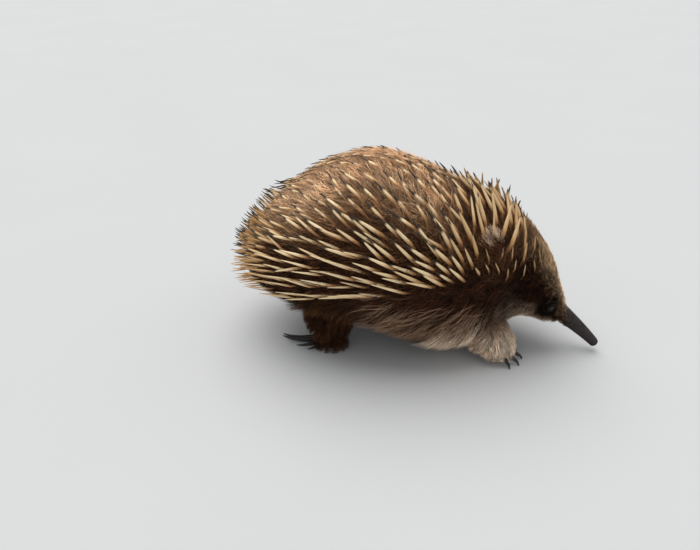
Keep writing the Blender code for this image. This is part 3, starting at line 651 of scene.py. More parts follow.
skin_bm = bmesh.new()
form_ball(skin_bm, body, 96, 128, coat_depth)
for key, form in legs.items():
    form_ball(skin_bm, form, 32, 24, constant(LEG_DEPTH))
for key, form in feet.items():
    centre = form.middle(np.zeros(1))[0]
    halves = foot_halves(FORE_FOOT if key.startswith("fore") else HIND_FOOT) - FOOT_DEPTH

    def foot_place(share, angle, centre=centre, halves=halves):
        return above_floor(centre + ball(share * math.pi, np.radians(angle)) * halves)

    wrap_ball(skin_bm, 32, 24, foot_place)
form_ball(skin_bm, tail, 24, 12, constant(TAIL_DEPTH))
print("The balls under the skin have", len(skin_bm.faces), "faces so far")

# %% [markdown]
# ## Claws
# The forefeet dig, with five short, stout claws that point down and forward. The hind feet groom among
# the spines, so two of their claws are very long and sweep back. Each claw is a ball drawn out along a
# bent line, which closes both ends, and each has a small toe of skin round its root.

# %% Claw lines
FORE_CLAWS = (0.013, 0.017, 0.019, 0.017, 0.013)
HIND_CLAWS = (0.013, 0.043, 0.040, 0.024, 0.015)
FORE_SPREAD = 27.0
FORE_CLAW_HEIGHT = 0.0086
FORE_CLAW_RADIUS = 0.0029
FORE_CLAW_REACH = 0.72
FORE_CLAW_BOW = 0.22
HIND_SPREAD = 24.0
HIND_TURN = 12.0
HIND_CLAW_HEIGHT = 0.0042
HIND_CLAW_RISE = 0.07
HIND_CLAW_BOW = 0.21
HIND_CLAW_DROP = 0.05
HIND_SWEEPS = (20.0, 44.0, 17.0, 16.0, 10.0)
HIND_CLAW_RADII = (0.0023, 0.0034, 0.0034, 0.0026, 0.0022)
CLAW_GAP = 0.001
CLAW_SUNK = 0.005
CLAW_TAPER = 0.80
CLAW_FLATNESS = 0.84
TOE_RADIUS = 0.0036
TOE_SUNK = 0.0035
TOE_STRETCH = 0.6


def flat_way(degrees):
    return np.array([math.cos(math.radians(degrees)), math.sin(math.radians(degrees)), 0.0])


def claw_lines(limb, side):
    """Root, bend, tip and radius of a foot's five claws."""
    sign = SIGNS[side]
    sole = soles[f"{limb}_{side}"]
    lines = []
    for i in range(5):
        if limb == "fore":
            way = flat_way((i - 2) * FORE_SPREAD * sign)
            root = sole + way * (FORE_FOOT[0] / 2 + CLAW_GAP) + UP * FORE_CLAW_HEIGHT
            tip = root + way * FORE_CLAWS[i] * FORE_CLAW_REACH
            tip[2] = 0.0004
            bow = (way + UP) * FORE_CLAWS[i] * FORE_CLAW_BOW
            radius = FORE_CLAW_RADIUS
        else:
            long = HIND_CLAWS[i]
            turn = 180.0 - sign * ((i - 2) * HIND_SPREAD - HIND_TURN)
            root = sole + flat_way(turn) * (HIND_FOOT[0] / 2 + CLAW_GAP) + UP * HIND_CLAW_HEIGHT
            sweep = HIND_SWEEPS[i]
            tip = root + flat_way(turn - sign * sweep) * long
            tip[2] = HIND_CLAW_HEIGHT + HIND_CLAW_RISE * long
            bow = flat_way(turn - sign * (sweep + 80.0)) * long * HIND_CLAW_BOW - UP * long * HIND_CLAW_DROP
            radius = HIND_CLAW_RADII[i]
        lines.append((root, (root + tip) / 2 + bow, tip, radius))
    return lines


def claw_place(root, bend, tip, radius):
    """Where a claw's ball goes: along its line, thick at the root and pointed at the tip."""
    start = root - unit(bend - root) * CLAW_SUNK

    def place(share, angle):
        f = share[:, None]
        point = start * (1 - f) ** 2 + bend * 2 * f * (1 - f) + tip * f**2
        line = unit((bend - start) * (1 - f) + (tip - bend) * f)
        aside = unit(np.cross(line, np.where(np.abs(line[:, 2:]) > 0.9, FORWARD, UP)))
        over = np.cross(aside, line)
        size = radius * (1.0 - CLAW_TAPER * f**1.5) * np.sqrt(np.clip(1.0 - (2.0 * f - 1.0) ** 14, 0.0, 1.0))
        a = np.radians(angle)[:, None]
        ring = aside * np.cos(a) * CLAW_FLATNESS + over * np.sin(a)
        return above_floor(point + ring * size, 0.0002)

    return place


# %% Toes under the skin
for limb in LIMBS:
    for side in SIDES:
        for root, bend, _, _ in claw_lines(limb, side):
            line = unit(bend - root)
            centre = root - line * TOE_SUNK

            def toe_place(share, angle, centre=centre, line=line):
                point = centre + ball(share * math.pi, np.radians(angle)) * TOE_RADIUS
                return above_floor(point + line * (dot(point - centre, line) * TOE_STRETCH))

            wrap_ball(skin_bm, 16, 12, toe_place)
print("With the toes they have", len(skin_bm.faces), "faces")

# %% Melting the balls into one skin
SKIN_VOXEL = 0.0020
SKIN_ROUNDS = 4
skin = new_object("skin", skin_bm)
remesh = skin.modifiers.new("voxels", "REMESH")
remesh.mode = "VOXEL"
remesh.voxel_size = SKIN_VOXEL
apply_modifiers(skin)
skin_bm = bmesh.new()
skin_bm.from_mesh(skin.data)
all_ways = {"use_axis_x": True, "use_axis_y": True, "use_axis_z": True}
for _ in range(SKIN_ROUNDS):
    bmesh.ops.smooth_vert(skin_bm, verts=skin_bm.verts, factor=0.5, **all_ways)
for vertex in skin_bm.verts:
    vertex.co.z = max(vertex.co.z, 0.0)
skin_bm.to_mesh(skin.data)
skin_bm.free()
print("The skin has", len(skin.data.polygons), "faces after the remesh")

# %% [markdown]
# ## Lids, folds and ear cups
# The lids are a soft ring, thicker above than below, that lies over the rim of the eyeball. It is a
# circle spun into a ring and then squeezed to an almond. A thinner ring round it is the fold of skin
# behind the lids. Each ear is a ball with a smaller ball cut out of its front.

# %% Lids and folds
# Half width, half height, thickness, how much thicker above, and how far out of the eye's middle.
EYE_RINGS = {
    "lids": (0.0047, 0.0037, 0.0015, 0.35, 0.0024),
    "fold": (0.0078, 0.0066, 0.0010, 0.30, 0.0006),
}
BROW_OUT = 0.0006


def eye_ring(name, side, wide, high, thick, heavy, out):
    """A spun ring round an eye, thicker above by a share."""
    centre, axes = eyes[side]
    bm = bmesh.new()
    bmesh.ops.create_circle(bm, segments=14, radius=thick)
    bmesh.ops.rotate(bm, verts=bm.verts, matrix=Matrix.Rotation(math.pi / 2, 3, "X"))
    bmesh.ops.translate(bm, verts=bm.verts, vec=(wide, 0.0, 0.0))
    geometry = bm.verts[:] + bm.edges[:]
    turn = {"cent": (0, 0, 0), "axis": (0, 0, 1), "angle": math.tau, "steps": 44, "use_merge": True}
    bmesh.ops.spin(bm, geom=geometry, **turn)
    bmesh.ops.remove_doubles(bm, verts=bm.verts, dist=1e-6)
    bmesh.ops.recalc_face_normals(bm, faces=bm.faces)
    for vertex in bm.verts:
        x, y, z = vertex.co
        around = math.hypot(x, y)
        above = max(y / around, 0.0)
        ring = np.array([x, y, 0.0]) * (wide / around)
        tube = (np.array([x, y, z]) - ring) * (1.0 + heavy * above)
        local = ring * (1.0, high / wide, 1.0) + tube
        local[2] += out + BROW_OUT * above
        vertex.co = centre + local @ axes
    return new_object(name, bm)


# %% Ear cups
def ear_ball(name, side, sides, rows, halves, offset):
    """A closed ball at an ear, moved by an offset ahead, upward and outward."""
    centre, axes = ears[side]

    def place(share, angle):
        return centre + (ball(share * math.pi, np.radians(angle)) * halves + offset) @ axes

    bm = bmesh.new()
    wrap_ball(bm, sides, rows, place)
    made = new_object(name, bm)
    turned = bmesh.new()
    turned.from_mesh(made.data)
    bmesh.ops.recalc_face_normals(turned, faces=turned.faces)
    turned.to_mesh(made.data)
    turned.free()
    return made


def ear_cup(side):
    cup = ear_ball(f"cup_{side}", side, 40, 28, EAR_HALF, 0.0)
    cutter = ear_ball(f"hollow_{side}", side, 32, 24, EAR_HOLLOW, EAR_OPENING)
    cut = cup.modifiers.new("hollow", "BOOLEAN")
    cut.operation = "DIFFERENCE"
    cut.solver = "EXACT"
    cut.object = cutter
    apply_modifiers(cup)
    bpy.data.objects.remove(cutter)
    return cup


# %% Joining lids and ears, cutting sockets
SOCKET_GAP = 0.0002
added = bpy.data.collections.new("added")
removed = bpy.data.collections.new("removed")
for side in SIDES:
    for kind, sizes in EYE_RINGS.items():
        added.objects.link(eye_ring(f"{kind}_{side}", side, *sizes))
    added.objects.link(ear_cup(side))
    socket_bm = bmesh.new()
    bmesh.ops.create_uvsphere(socket_bm, u_segments=32, v_segments=20, radius=EYE_RADIUS + SOCKET_GAP)
    bmesh.ops.translate(socket_bm, verts=socket_bm.verts, vec=Vector(eyes[side][0]))
    removed.objects.link(new_object(f"socket_{side}", socket_bm))
for name, operation, operands in (("add", "UNION", added), ("cut", "DIFFERENCE", removed)):
    join = skin.modifiers.new(name, "BOOLEAN")
    join.operation = operation
    join.solver = "EXACT"
    join.operand_type = "COLLECTION"
    join.collection = operands
apply_modifiers(skin)
for operands in (added, removed):
    for made in list(operands.objects):
        bpy.data.objects.remove(made)
    bpy.data.collections.remove(operands)
for polygon in skin.data.polygons:
    polygon.use_smooth = True
skin.data.calc_loop_triangles()
print("The skin has", len(skin.data.loop_triangles), "triangles with its lids and ears")

# %% [markdown]
# ## Markings
# The back is woolly tan, the flank darkens to brown and then to a dark fringe, partly in the coat's own
# colour and partly as painted shade away from the light overhead, the shoulder and cheek are nearly
# black-brown, the crown is olive brown, and the forelegs are blond. One function gives the colour of a place,
# and both the skin and every tuft take it from there, so that they always agree. Its tables give shades by
# the angle from the crest, and each line after them lays one marking over the others; some of them are
# painted light and shade.

# %% Colours of the coat
TAN = np.array([0.92, 0.605, 0.362])
FAWN = np.array([0.47, 0.275, 0.145])
BROWN = np.array([0.160, 0.075, 0.035])
DARK = np.array([0.058, 0.023, 0.011])
NAPE_WOOL = np.array([0.195, 0.092, 0.043])
# The pale top edge of the head: partly its own olive-cream fur, partly a painted highlight.
RIM_FUR_AND_HIGHLIGHT = np.array([0.72, 0.53, 0.33])
FRINGE = np.array([0.062, 0.029, 0.017])
OLIVE = np.array([0.37, 0.235, 0.132])
CROWN = np.array([0.33, 0.190, 0.100])
CHEEK = np.array([0.46, 0.33, 0.235])
RUMP = np.array([0.120, 0.060, 0.028])
RUST = np.array([0.130, 0.055, 0.022])
BLOND = np.array([1.0, 0.80, 0.61])
EARED = np.array([0.80, 0.59, 0.41])
MUZZLE = np.array([0.075, 0.055, 0.044])
# Down from the crest the colours darken: partly the coat's own colour, partly painted shade where the flank
# turns from the light overhead.
BACK_COLOURS_AND_PAINTED_SHADE = ((0, TAN), (29, TAN), (45, FAWN), (61, BROWN), (88, DARK * 1.4), (118, FRINGE), (180, FRINGE))
# From 118 degrees on, under the chin, the pale cheek fur is made brighter still: partly its own colour,
# partly painted light on an underside in shade.
HEAD_SHADES = ((0, CROWN), (38, OLIVE * 0.85), (60, DARK * 1.3), (80, DARK * 0.6), (94, DARK * 0.8),
               (106, CHEEK * 0.9), (118, CHEEK * 1.4), (180, CHEEK * 1.4))
EYE_SHADOW = (0.0080, 0.0170)
BROW_PATCH = (0.002, 0.005)


def shade(value, stops):
    """A colour between those of a table, by the value."""
    return np.stack([look_up(value, [(place, colour[k]) for place, colour in stops]) for k in range(3)], -1)


def side_of(angle):
    """Degrees from the crest, on either side."""
    return np.abs((angle + 180.0) % 360.0 - 180.0)


def head_marking(t, side):
    face = shade(side, HEAD_SHADES)
    throat = 0.55 * fall(t, 8.6, 10.0) * ramp(side, 96.0, 112.0)
    cheek = ramp(t, 10.6, 11.8) * ramp(side, 96.0, 112.0)
    forehead = ramp(t, 11.0, 12.2) * fall(side, 60.0, 90.0)
    # The top edge of the head is paler: partly its own olive-cream fur, partly a painted highlight where the
    # light overhead falls.
    crest = ramp(t, 8.6, 10.4) * fall(side, 18.0, 54.0)
    face = face * (1.0 - throat)[..., None]
    return mix(mix(mix(face, CHEEK, cheek), OLIVE, forehead), RIM_FUR_AND_HIGHLIGHT, crest)


def body_marking(t, angle, point):
    side = side_of(angle) + 6.0 * drift(point, 0.035, 1)
    rear_shift = 9.0 * fall(t, 2.4, 4.2)
    rear_shadow = 0.20 * fall(t, 2.0, 4.0)
    rump = 0.85 * fall(t, 0.5, 2.2) * fall(side, 100.0, 130.0)
    # The lower flank by the rump is darkened to rust brown: painted shadow under the spines.
    rear_spine_shadow = ramp(side, 106.0, 120.0) * fall(t, 3.4, 4.8)
    shoulder = ramp(t, 5.4, 7.0) * ramp(side, 46.0, 70.0) * fall(side, 104.0, 124.0)
    nape = ramp(t, 5.2, 6.6) * fall(side, 60.0, 84.0)
    # Colours by the angle from the crest: the coat's own colours with painted shade down the flank.
    colour = shade(side - rear_shift, BACK_COLOURS_AND_PAINTED_SHADE) * (1.0 - rear_shadow)[..., None]
    colour = mix(colour, RUMP, rump)
    # Painted shadow under the spines on the lower rear flank.
    colour = mix(colour, RUST * 0.30, rear_spine_shadow)
    colour = mix(colour, DARK * 1.25, shoulder)
    colour = mix(colour, NAPE_WOOL, nape)
    colour = mix(colour, head_marking(t, side), ramp(t, 7.6, 8.8))
    for centre, axes in eyes.values():
        brow = centre + axes[1] * 0.0105 + axes[0] * 0.001
        from_eye, from_brow = (np.linalg.norm(point - place, axis=-1) for place in (centre, brow))
        colour = mix(colour, DARK * 0.10, fall(from_eye, *EYE_SHADOW))
        colour = mix(colour, OLIVE * 0.4, 0.6 * fall(from_brow, *BROW_PATCH))
    return mix(colour, MUZZLE, ramp(t, 13.0, 14.0))


# %% Colours of the limbs, tail and ears
def behind_share(angle):
    """1 at the back of a leg, 0 at its side and front."""
    return np.clip(-np.cos(np.radians(angle)), 0.0, 1.0)


def leg_marking(key):
    fore = key.startswith("fore")
    # Each leg darkens towards its top, where it goes in under the body: painted shade, brown on the foreleg
    # and dark on the hind leg.
    main, rear, top = (BLOND, BLOND, BROWN) if fore else (RUST * 0.42, RUST * 1.5, DARK)

    def marking(t, angle, point):
        colour = mix(np.broadcast_to(main, point.shape), rear, behind_share(angle) * ramp(t, 1.2, 2.4))
        # Painted shade at the top of the leg, under the body.
        return mix(colour, top, fall(t, 0.4, 1.3))

    return marking


def plain_marking(colour):
    return lambda u, v, point: np.broadcast_to(colour, point.shape)


def foot_marking(key):
    return plain_marking(mix(BLOND, BROWN, 0.22) if key.startswith("fore") else RUST * 0.6)


# %% Colouring the skin
marked_forms = [(body, body_marking)]
marked_forms += [(form, leg_marking(key)) for key, form in legs.items()]
marked_forms += [(form, foot_marking(key)) for key, form in feet.items()]
marked_forms += [(tail, plain_marking(RUMP))]
marked_forms += [(form, plain_marking(BROWN)) for form in ear_forms.values()]
samples = []
for form, marking in marked_forms:
    rows, turns = (240, 120) if form is body else (24, 24)
    grids = np.meshgrid(np.linspace(*form.ends, rows), np.linspace(-180, 180, turns, False))
    u, v = (grid.ravel() for grid in grids)
    points = body_skin(u, v) if form is body else form.place(u, v)
    samples.append((points, marking(u, v, points)))
sample_points = np.concatenate([points for points, _ in samples])
sample_colours = np.concatenate([colours for _, colours in samples])
tree = KDTree(len(sample_points))
for index, point in enumerate(sample_points):
    tree.insert(point, index)
tree.balance()
nearest = [tree.find(vertex.co)[1] for vertex in skin.data.vertices]
skin_colours = np.ones((len(nearest), 4))
skin_colours[:, :3] = sample_colours[nearest]
skin.data.attributes.new("marking", "FLOAT_COLOR", "POINT").data.foreach_set("color", skin_colours.ravel())
print("Colours at", len(sample_points), "places were given to", len(nearest), "vertices of the skin")

# %% [markdown]
# ## The skin's finish
# Under the fur the skin only shows as a dark gap, and on the lids and soles as fine leather. So its colour
# is the marking made darker, partly as darker skin and partly as painted shade in the gaps under the fur,
# with small creases that a cell pattern gives.

# %% Skin finish
skin_finish = Finish("skin", Specular_IOR_Level=0.12)
skin_grain = skin_finish.cells(700.0)
skin_cloud = skin_finish.noise(160.0, 4.0)
# The marking made darker: partly the skin's own darker leather, partly painted shade in the gaps under the
# fur.
under = skin_finish.blend(1.0, skin_finish.attribute("marking", "Color"), (0.42, 0.38, 0.35), "MULTIPLY")
skin_finish.feed("Base Color", skin_finish.blend(skin_cloud * 0.6, under, (0.012, 0.008, 0.006)))
skin_finish.feed("Roughness", 0.55 + skin_grain * 0.35)
skin_finish.feed("Normal", skin_finish.bump(skin_grain + skin_cloud * 0.5, 0.0006, 0.7))
skin.data.materials.clear()
skin.data.materials.append(skin_finish.material)
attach(skin, "root")
FLESH = ["torso", "neck", "head", "tail", "ear_left", "ear_right"]
FLESH += [f"{limb}{part}_{side}" for limb in LIMBS for part in ("leg", "foot") for side in SIDES]
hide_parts(*FLESH)

# %% [markdown]
# ## The beak
# An echidna's beak is a bare, leathery tube with a tiny mouth under its tip and two nostrils on top. A
# ball is drawn out along the beak's line. Its far end is rounded, and its root is sunk in the head. The
# mouth's slit and the nostrils are pressed in by moving vertices, and an attribute remembers the dents.

# %% Beak shape
BEAK_ROOT = np.array([0.1765, -0.0115, 0.0415]) + CENTRE
BEAK_TIP = np.array([0.2195, -0.0200, 0.0078]) + CENTRE
BEAK_RADII = (0.0102, 0.0047)
BEAK_ARCH = 0.0012
BEAK_SUNK = 0.008
BEAK_SIDES = 64
BEAK_ROWS = 110
BEAK_FLATNESS = 0.94
TIP_SHARE = 0.86
MOUTH_DROP, MOUTH_WIDE, MOUTH_DEEP = 0.0021, 0.00045, 0.0006
MOUTH_ENDS = (0.0055, 0.0075)
NOSTRIL_BACK, NOSTRIL_ASIDE, NOSTRIL_WIDE, NOSTRIL_DEEP = 0.0032, 0.0018, 0.0009, 0.0011
WRINKLE_DEEP = 0.00012
DENT_DEEP = 0.0007
beak_line = unit(BEAK_TIP - BEAK_ROOT)
beak_over = unit(UP - beak_line * (UP @ beak_line))
beak_aside = np.cross(beak_line, beak_over)
beak_length = np.linalg.norm(BEAK_TIP - BEAK_ROOT)
dents = []


def beak_dents(from_tip, height, aside, on_top):
    """How deep the mouth and the nostrils are at a place of the beak."""
    line = np.exp(-((height + MOUTH_DROP) / MOUTH_WIDE) ** 2)
    inward = line * fall(from_tip, *MOUTH_ENDS) * MOUTH_DEEP
    nostrils = np.zeros_like(inward)
    for sign in SIGNS.values():
        away = np.hypot(from_tip - NOSTRIL_BACK, aside - sign * NOSTRIL_ASIDE)
        nostrils += np.exp(-((away / NOSTRIL_WIDE) ** 2)) * NOSTRIL_DEEP * on_top
    return inward + nostrils


def beak_place(share, angle):
    tip_start = 1.0 - BEAK_RADII[1] * 0.85 / beak_length
    straight = np.clip(share / TIP_SHARE, 0.0, 1.0)
    turn = np.clip((share - TIP_SHARE) / 0.14, 0.0, 1.0) * math.pi / 2
    f = -BEAK_SUNK / beak_length * (1 - straight) + tip_start * straight
    f = np.where(share > TIP_SHARE, tip_start + (1.0 - tip_start) * np.sin(turn), f)
    size = BEAK_RADII[0] + (BEAK_RADII[1] - BEAK_RADII[0]) * np.clip(f, 0.0, 1.0) ** 0.85
    size = size * np.cos(turn) * np.clip(share / 0.02, 0.0, 1.0) ** 0.5
    a = np.radians(angle)
    ring = beak_over * np.cos(a)[:, None] + beak_aside * np.sin(a)[:, None] * BEAK_FLATNESS
    arch = BEAK_ARCH * 4.0 * np.clip(f, 0, 1) * (1 - np.clip(f, 0, 1))
    point = BEAK_ROOT + (BEAK_TIP - BEAK_ROOT) * f[:, None] + beak_over * arch[:, None] + ring * size[:, None]
    from_tip = (1.0 - f) * beak_length
    inward = beak_dents(from_tip, np.cos(a) * size, np.sin(a) * size, np.cos(a) > 0)
    wrinkles = WRINKLE_DEEP * np.sin(f * 95.0 + 1.3 * np.sin(a)) * ramp(from_tip, 0.004, 0.012)
    dents.extend(np.clip(inward / DENT_DEEP, 0.0, 1.0))
    return point - ring * (inward + wrinkles)[:, None]


beak_bm = bmesh.new()
wrap_ball(beak_bm, BEAK_SIDES, BEAK_ROWS, beak_place)
bmesh.ops.recalc_face_normals(beak_bm, faces=beak_bm.faces)
beak = new_object("beak_tube", beak_bm)
# The depth of the dents is kept so that the finish can paint shade in them.
store(beak, "dent", dents)
print("The beak has", len(beak.data.polygons), "faces")

# %% [markdown]
# ## The beak's finish
# Charcoal skin with a dry, matt surface: fine pores all over, broad worn patches that shine a little
# more, and painted shade in the mouth and nostrils.

# %% Beak finish
beak_finish = Finish("beak", Specular_IOR_Level=0.2)
pores = beak_finish.cells(1500.0)
worn = beak_finish.noise(120.0, 4.0)
beak_colour = beak_finish.ramp(worn, (0.30, (0.019, 0.0145, 0.0135)), (0.70, (0.042, 0.033, 0.031)))
dent = beak_finish.attribute("dent")
# Near black where the mouth and nostrils are pressed in: painted shade.
beak_finish.feed("Base Color", beak_finish.blend(dent, beak_colour, (0.006, 0.005, 0.005)))
beak_finish.feed("Roughness", 0.50 + worn * 0.22)
beak_finish.feed("Normal", beak_finish.bump(pores * 0.6 + worn * 0.4, 0.0003, 0.8))
beak.data.materials.append(beak_finish.material)
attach(beak, "root")
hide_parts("beak")

# %% [markdown]
# ## Eyes
# Small, round and very dark, so that what one sees is mostly the wet gloss. A ball is enough for the
# shape. The finish has a dark brown iris round a black pupil under a clear coat.

# %% Eyes
EYE_TURN = 0.3
PUPIL_EDGE = (0.90, 0.94)
eye_finish = Finish("eye", Coat_Weight=0.12, Coat_Roughness=0.04, Specular_IOR_Level=0.16)
speck = eye_finish.noise(1800.0, 3.0)
iris = eye_finish.blend(speck, (0.016, 0.008, 0.005), (0.040, 0.020, 0.010))
eye_finish.feed("Base Color", eye_finish.blend(eye_finish.attribute("pupil"), iris, (0.002, 0.002, 0.002)))
eye_finish.feed("Roughness", 0.10 + speck * 0.05)
for side in SIDES:
    centre, axes = eyes[side]
    eye_bm = bmesh.new()
    bmesh.ops.create_uvsphere(eye_bm, u_segments=40, v_segments=28, radius=EYE_RADIUS)
    bmesh.ops.translate(eye_bm, verts=eye_bm.verts, vec=Vector(centre))
    eyeball = new_object(f"eyeball_{side}", eye_bm)
    outward = unit(np.array([vertex.co for vertex in eyeball.data.vertices]) - centre)
    store(eyeball, "pupil", ramp(outward @ unit(axes[2] + axes[0] * EYE_TURN), *PUPIL_EDGE))
    eyeball.data.materials.append(eye_finish.material)
    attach(eyeball, "root")
    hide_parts(f"eye_{side}")
    print(f"{eyeball.name}: {len(eyeball.data.polygons)} faces")

# %% [markdown]
# ## Horn for the claws
# A claw is dark horn, smooth but not polished, a little paler where it wears thin at the tip, with a grain
# that runs along it. The claws of a foot are one piece, made along the lines from above.

# %% Claws
claw_finish = Finish("claw", Coat_Weight=0.12, Coat_Roughness=0.2, Specular_IOR_Level=0.35)
along = claw_finish.attribute("along")
grain = claw_finish.noise(900.0, 4.0, (1.0, 1.0, 0.25))
horn = claw_finish.blend(claw_finish.between(along, 0.75, 1.0), (0.012, 0.0095, 0.008), (0.060, 0.043, 0.030))
claw_finish.feed("Base Color", claw_finish.blend(grain * 0.25, horn, (0.060, 0.045, 0.034)))
claw_finish.feed("Roughness", 0.26 + grain * 0.25)
claw_finish.feed("Normal", claw_finish.bump(grain, 0.0002, 0.5))
for limb in LIMBS:
    for side in SIDES:
        claws_bm = bmesh.new()
        shares = []
        for line in claw_lines(limb, side):
            place = claw_place(*line)

            def noted_place(share, angle, place=place, shares=shares):
                shares.extend(share)
                return place(share, angle)

            wrap_ball(claws_bm, 16, 30, noted_place)
        bmesh.ops.recalc_face_normals(claws_bm, faces=claws_bm.faces)
        claws = new_object(f"{limb}claws_{side}", claws_bm)
        store(claws, "along", shares)
        claws.data.materials.append(claw_finish.material)
        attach(claws, "root")
        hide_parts(*[f"{limb}claw_{side}_{i}" for i in range(1, 6)])

# %% [markdown]
# ## Walking over a form
# A hair or spine starts at a root and lies along the body. `walk` takes a step along the surface again
# and again, each time in the direction that the coat lies there, and returns the places it passed. Where
# the form ends, the hair goes straight on instead.

# %% Walking
END_GAP = 0.05
SHARPEST_TURN = 60.0


def walk(form, u, v, heading, length, rows):
    """Points and outward normals at rows places from each root, following the lie of the coat."""
    points = []
    normals = []
    point, along, aside, normal = form.frame(u, v)
    for k in range(rows):
        points.append(point)
        normals.append(normal)
        way = heading(u, v, point, normal)
        way = (way - normal * dot(way, normal)) * (length / (rows - 1))[:, None]
        a, b, c = dot(along, along), dot(along, aside), dot(aside, aside)
        p, q = dot(way, along), dot(way, aside)
        spread = np.maximum(a * c - b * b, 1e-16)
        du = ((c * p - b * q) / spread)[:, 0]
        dv = ((a * q - b * p) / spread)[:, 0]
        low, high = form.ends
        gone = (u + du < low + END_GAP) | (u + du > high - END_GAP) | (np.abs(dv) > SHARPEST_TURN)
        u = np.where(gone, u, u + du)
        v = np.where(gone, v, v + dv)
        ahead, along, aside, turned = form.frame(u, v)
        point = np.where(gone[:, None], point + way, ahead)
        normal = np.where(gone[:, None], normal, turned)
    return np.stack(points, 1), np.stack(normals, 1)


def scatter(form, count, seed, weight, u_range=None):
    """Roots on a form, spread evenly by area times a weight, out of five times as many chance places."""
    chance = np.random.default_rng(seed)
    low, high = u_range or form.ends
    u = chance.uniform(low, high, count * 5)
    v = chance.uniform(-180.0, 180.0, count * 5)
    _, along, aside, _ = form.frame(u, v)
    size = np.linalg.norm(np.cross(along, aside), axis=-1) * weight(u, v)
    chosen = chance.choice(len(u), count, replace=False, p=size / size.sum())
    return u[chosen], v[chosen]


# %% [markdown]
# ## From lines to hairs
# A hair is a thin, closed, three-sided tube that ends in a point. Drawing one by hand and copying it
# would give hairs that are all alike, so every hair is worked out with the others as rows of numbers,
# and the whole region becomes one mesh. Each hair also gets a small square on a flat map of the skin,
# at its root's place, where its colour can be baked.

# %% Building many strands at once
PATCH = 0.003
STRAND_FLOOR = 0.0005


def strand_faces(rows, sides):
    """Faces of one strand as vertex numbers, with each corner's place on its patch."""
    faces = []
    for r in range(rows - 2):
        for k in range(sides):
            n = (k + 1) % sides
            corners = [(r * sides + n, k + 1, r), (r * sides + k, k, r)]
            corners += [((r + 1) * sides + k, k, r + 1), ((r + 1) * sides + n, k + 1, r + 1)]
            faces.append(corners)
    top = (rows - 2) * sides
    for k in range(sides):
        n = (k + 1) % sides
        faces.append([(top + n, k + 1, rows - 2), (top + k, k, rows - 2), (top + sides, k + 0.5, rows - 1)])
    faces.append([(k, k, 0) for k in range(sides)])
    return faces


def strand_points(paths, normals, widths, profile, sides, flat):
    """Rings of vertices along each path, one for every row but the last, and then the tip."""
    tangents = unit(np.gradient(paths, axis=1))
    aside = unit(np.cross(tangents, normals))
    over = np.cross(aside, tangents)
    size = widths[:, None] * np.asarray(profile)[None, :]
    turns = math.tau * np.arange(sides) / sides
    ring = aside[:, :-1, None] * np.cos(turns)[:, None] + over[:, :-1, None] * np.sin(turns)[:, None] * flat
    ring = paths[:, :-1, None] + ring * size[:, :, None, None]
    return above_floor(np.concatenate([ring.reshape(len(paths), -1, 3), paths[:, -1:]], axis=1), STRAND_FLOOR)


def strands(name, paths, normals, widths, profile, sides, flat, colours, roots, extra, shares=None):
    """One mesh of closed strands along the paths. Profile gives the thickness at every row but the last."""
    count, rows, _ = paths.shape
    points = strand_points(paths, normals, widths, profile, sides, flat)
    per = points.shape[1]
    faces = strand_faces(rows, sides)
    corners = np.array([corner[0] for face in faces for corner in face])
    sizes = np.array([len(face) for face in faces])
    starts = np.concatenate([[0], np.cumsum(sizes)[:-1]])
    step = np.arange(count)[:, None]
    mesh = bpy.data.meshes.new(name)
    mesh.vertices.add(count * per)
    mesh.vertices.foreach_set("co", points.astype(np.float32).ravel())
    mesh.loops.add(count * len(corners))
    mesh.loops.foreach_set("vertex_index", (corners[None] + step * per).astype(np.int32).ravel())
    mesh.polygons.add(count * len(faces))
    mesh.polygons.foreach_set("loop_start", (starts[None] + step * len(corners)).astype(np.int32).ravel())
    mesh.polygons.foreach_set("use_smooth", np.ones(count * len(faces), bool))
    mesh.update(calc_edges=True)
    shares = np.linspace(0.0, 1.0, rows) if shares is None else shares
    along = np.append(np.repeat(shares[:-1], sides), 1.0)
    values = {"along": np.broadcast_to(along, (count, per))}
    values.update({key: np.broadcast_to(value[:, None], (count, per)) for key, value in extra.items()})
    for key, value in values.items():
        mesh.attributes.new(key, "FLOAT", "POINT").data.foreach_set("value", value.astype(np.float32).ravel())
    marking = np.ones((count, per, 4), np.float32)
    marking[..., :3] = colours[:, None]
    mesh.attributes.new("marking", "FLOAT_COLOR", "POINT").data.foreach_set("color", marking.ravel())
    local = np.array([(corner[1] / sides, corner[2] / (rows - 1)) for face in faces for corner in face])
    patch = (roots[:, None] + local[None] * PATCH).astype(np.float32)
    mesh.uv_layers.new(name="OFBake").uv.foreach_set("vector", patch.ravel())
    made = bpy.data.objects.new(name, mesh)
    bpy.context.collection.objects.link(made)
    triangles = count * int((sizes - 2).sum())
    return made, triangles


# %% [markdown]
# ## Clumps
# Wet or woolly, hair keeps together in locks. Some hairs are chosen as leaders, and every other hair is
# drawn towards its nearest leader, more and more towards the tip. A leader far away has no pull, or a
# hair would cross its neighbours to reach it.

# %% Clumping
CLUMP_REACH = (0.004, 0.009)


def gather(paths, clumps, strength, chance):
    """Draws hairs towards leaders. Returns the new paths and each hair's leader."""
    count, rows, _ = paths.shape
    leaders = chance.choice(count, clumps, replace=False)
    tree = KDTree(clumps)
    for index, leader in enumerate(leaders):
        tree.insert(paths[leader, 0], index)
    tree.balance()
    found = [tree.find(root)[1:] for root in paths[:, 0]]
    nearest = np.array([index for index, _ in found])
    close = fall(np.array([away for _, away in found]), *CLUMP_REACH)
    lead = paths[leaders[nearest]]
    f = np.linspace(0.0, 1.0, rows)[None, :, None]
    pull = (strength * close * chance.uniform(0.45, 1.25, count)).clip(0.0, 0.95)[:, None, None] * f**1.3
    return paths + (lead - paths) * pull, nearest


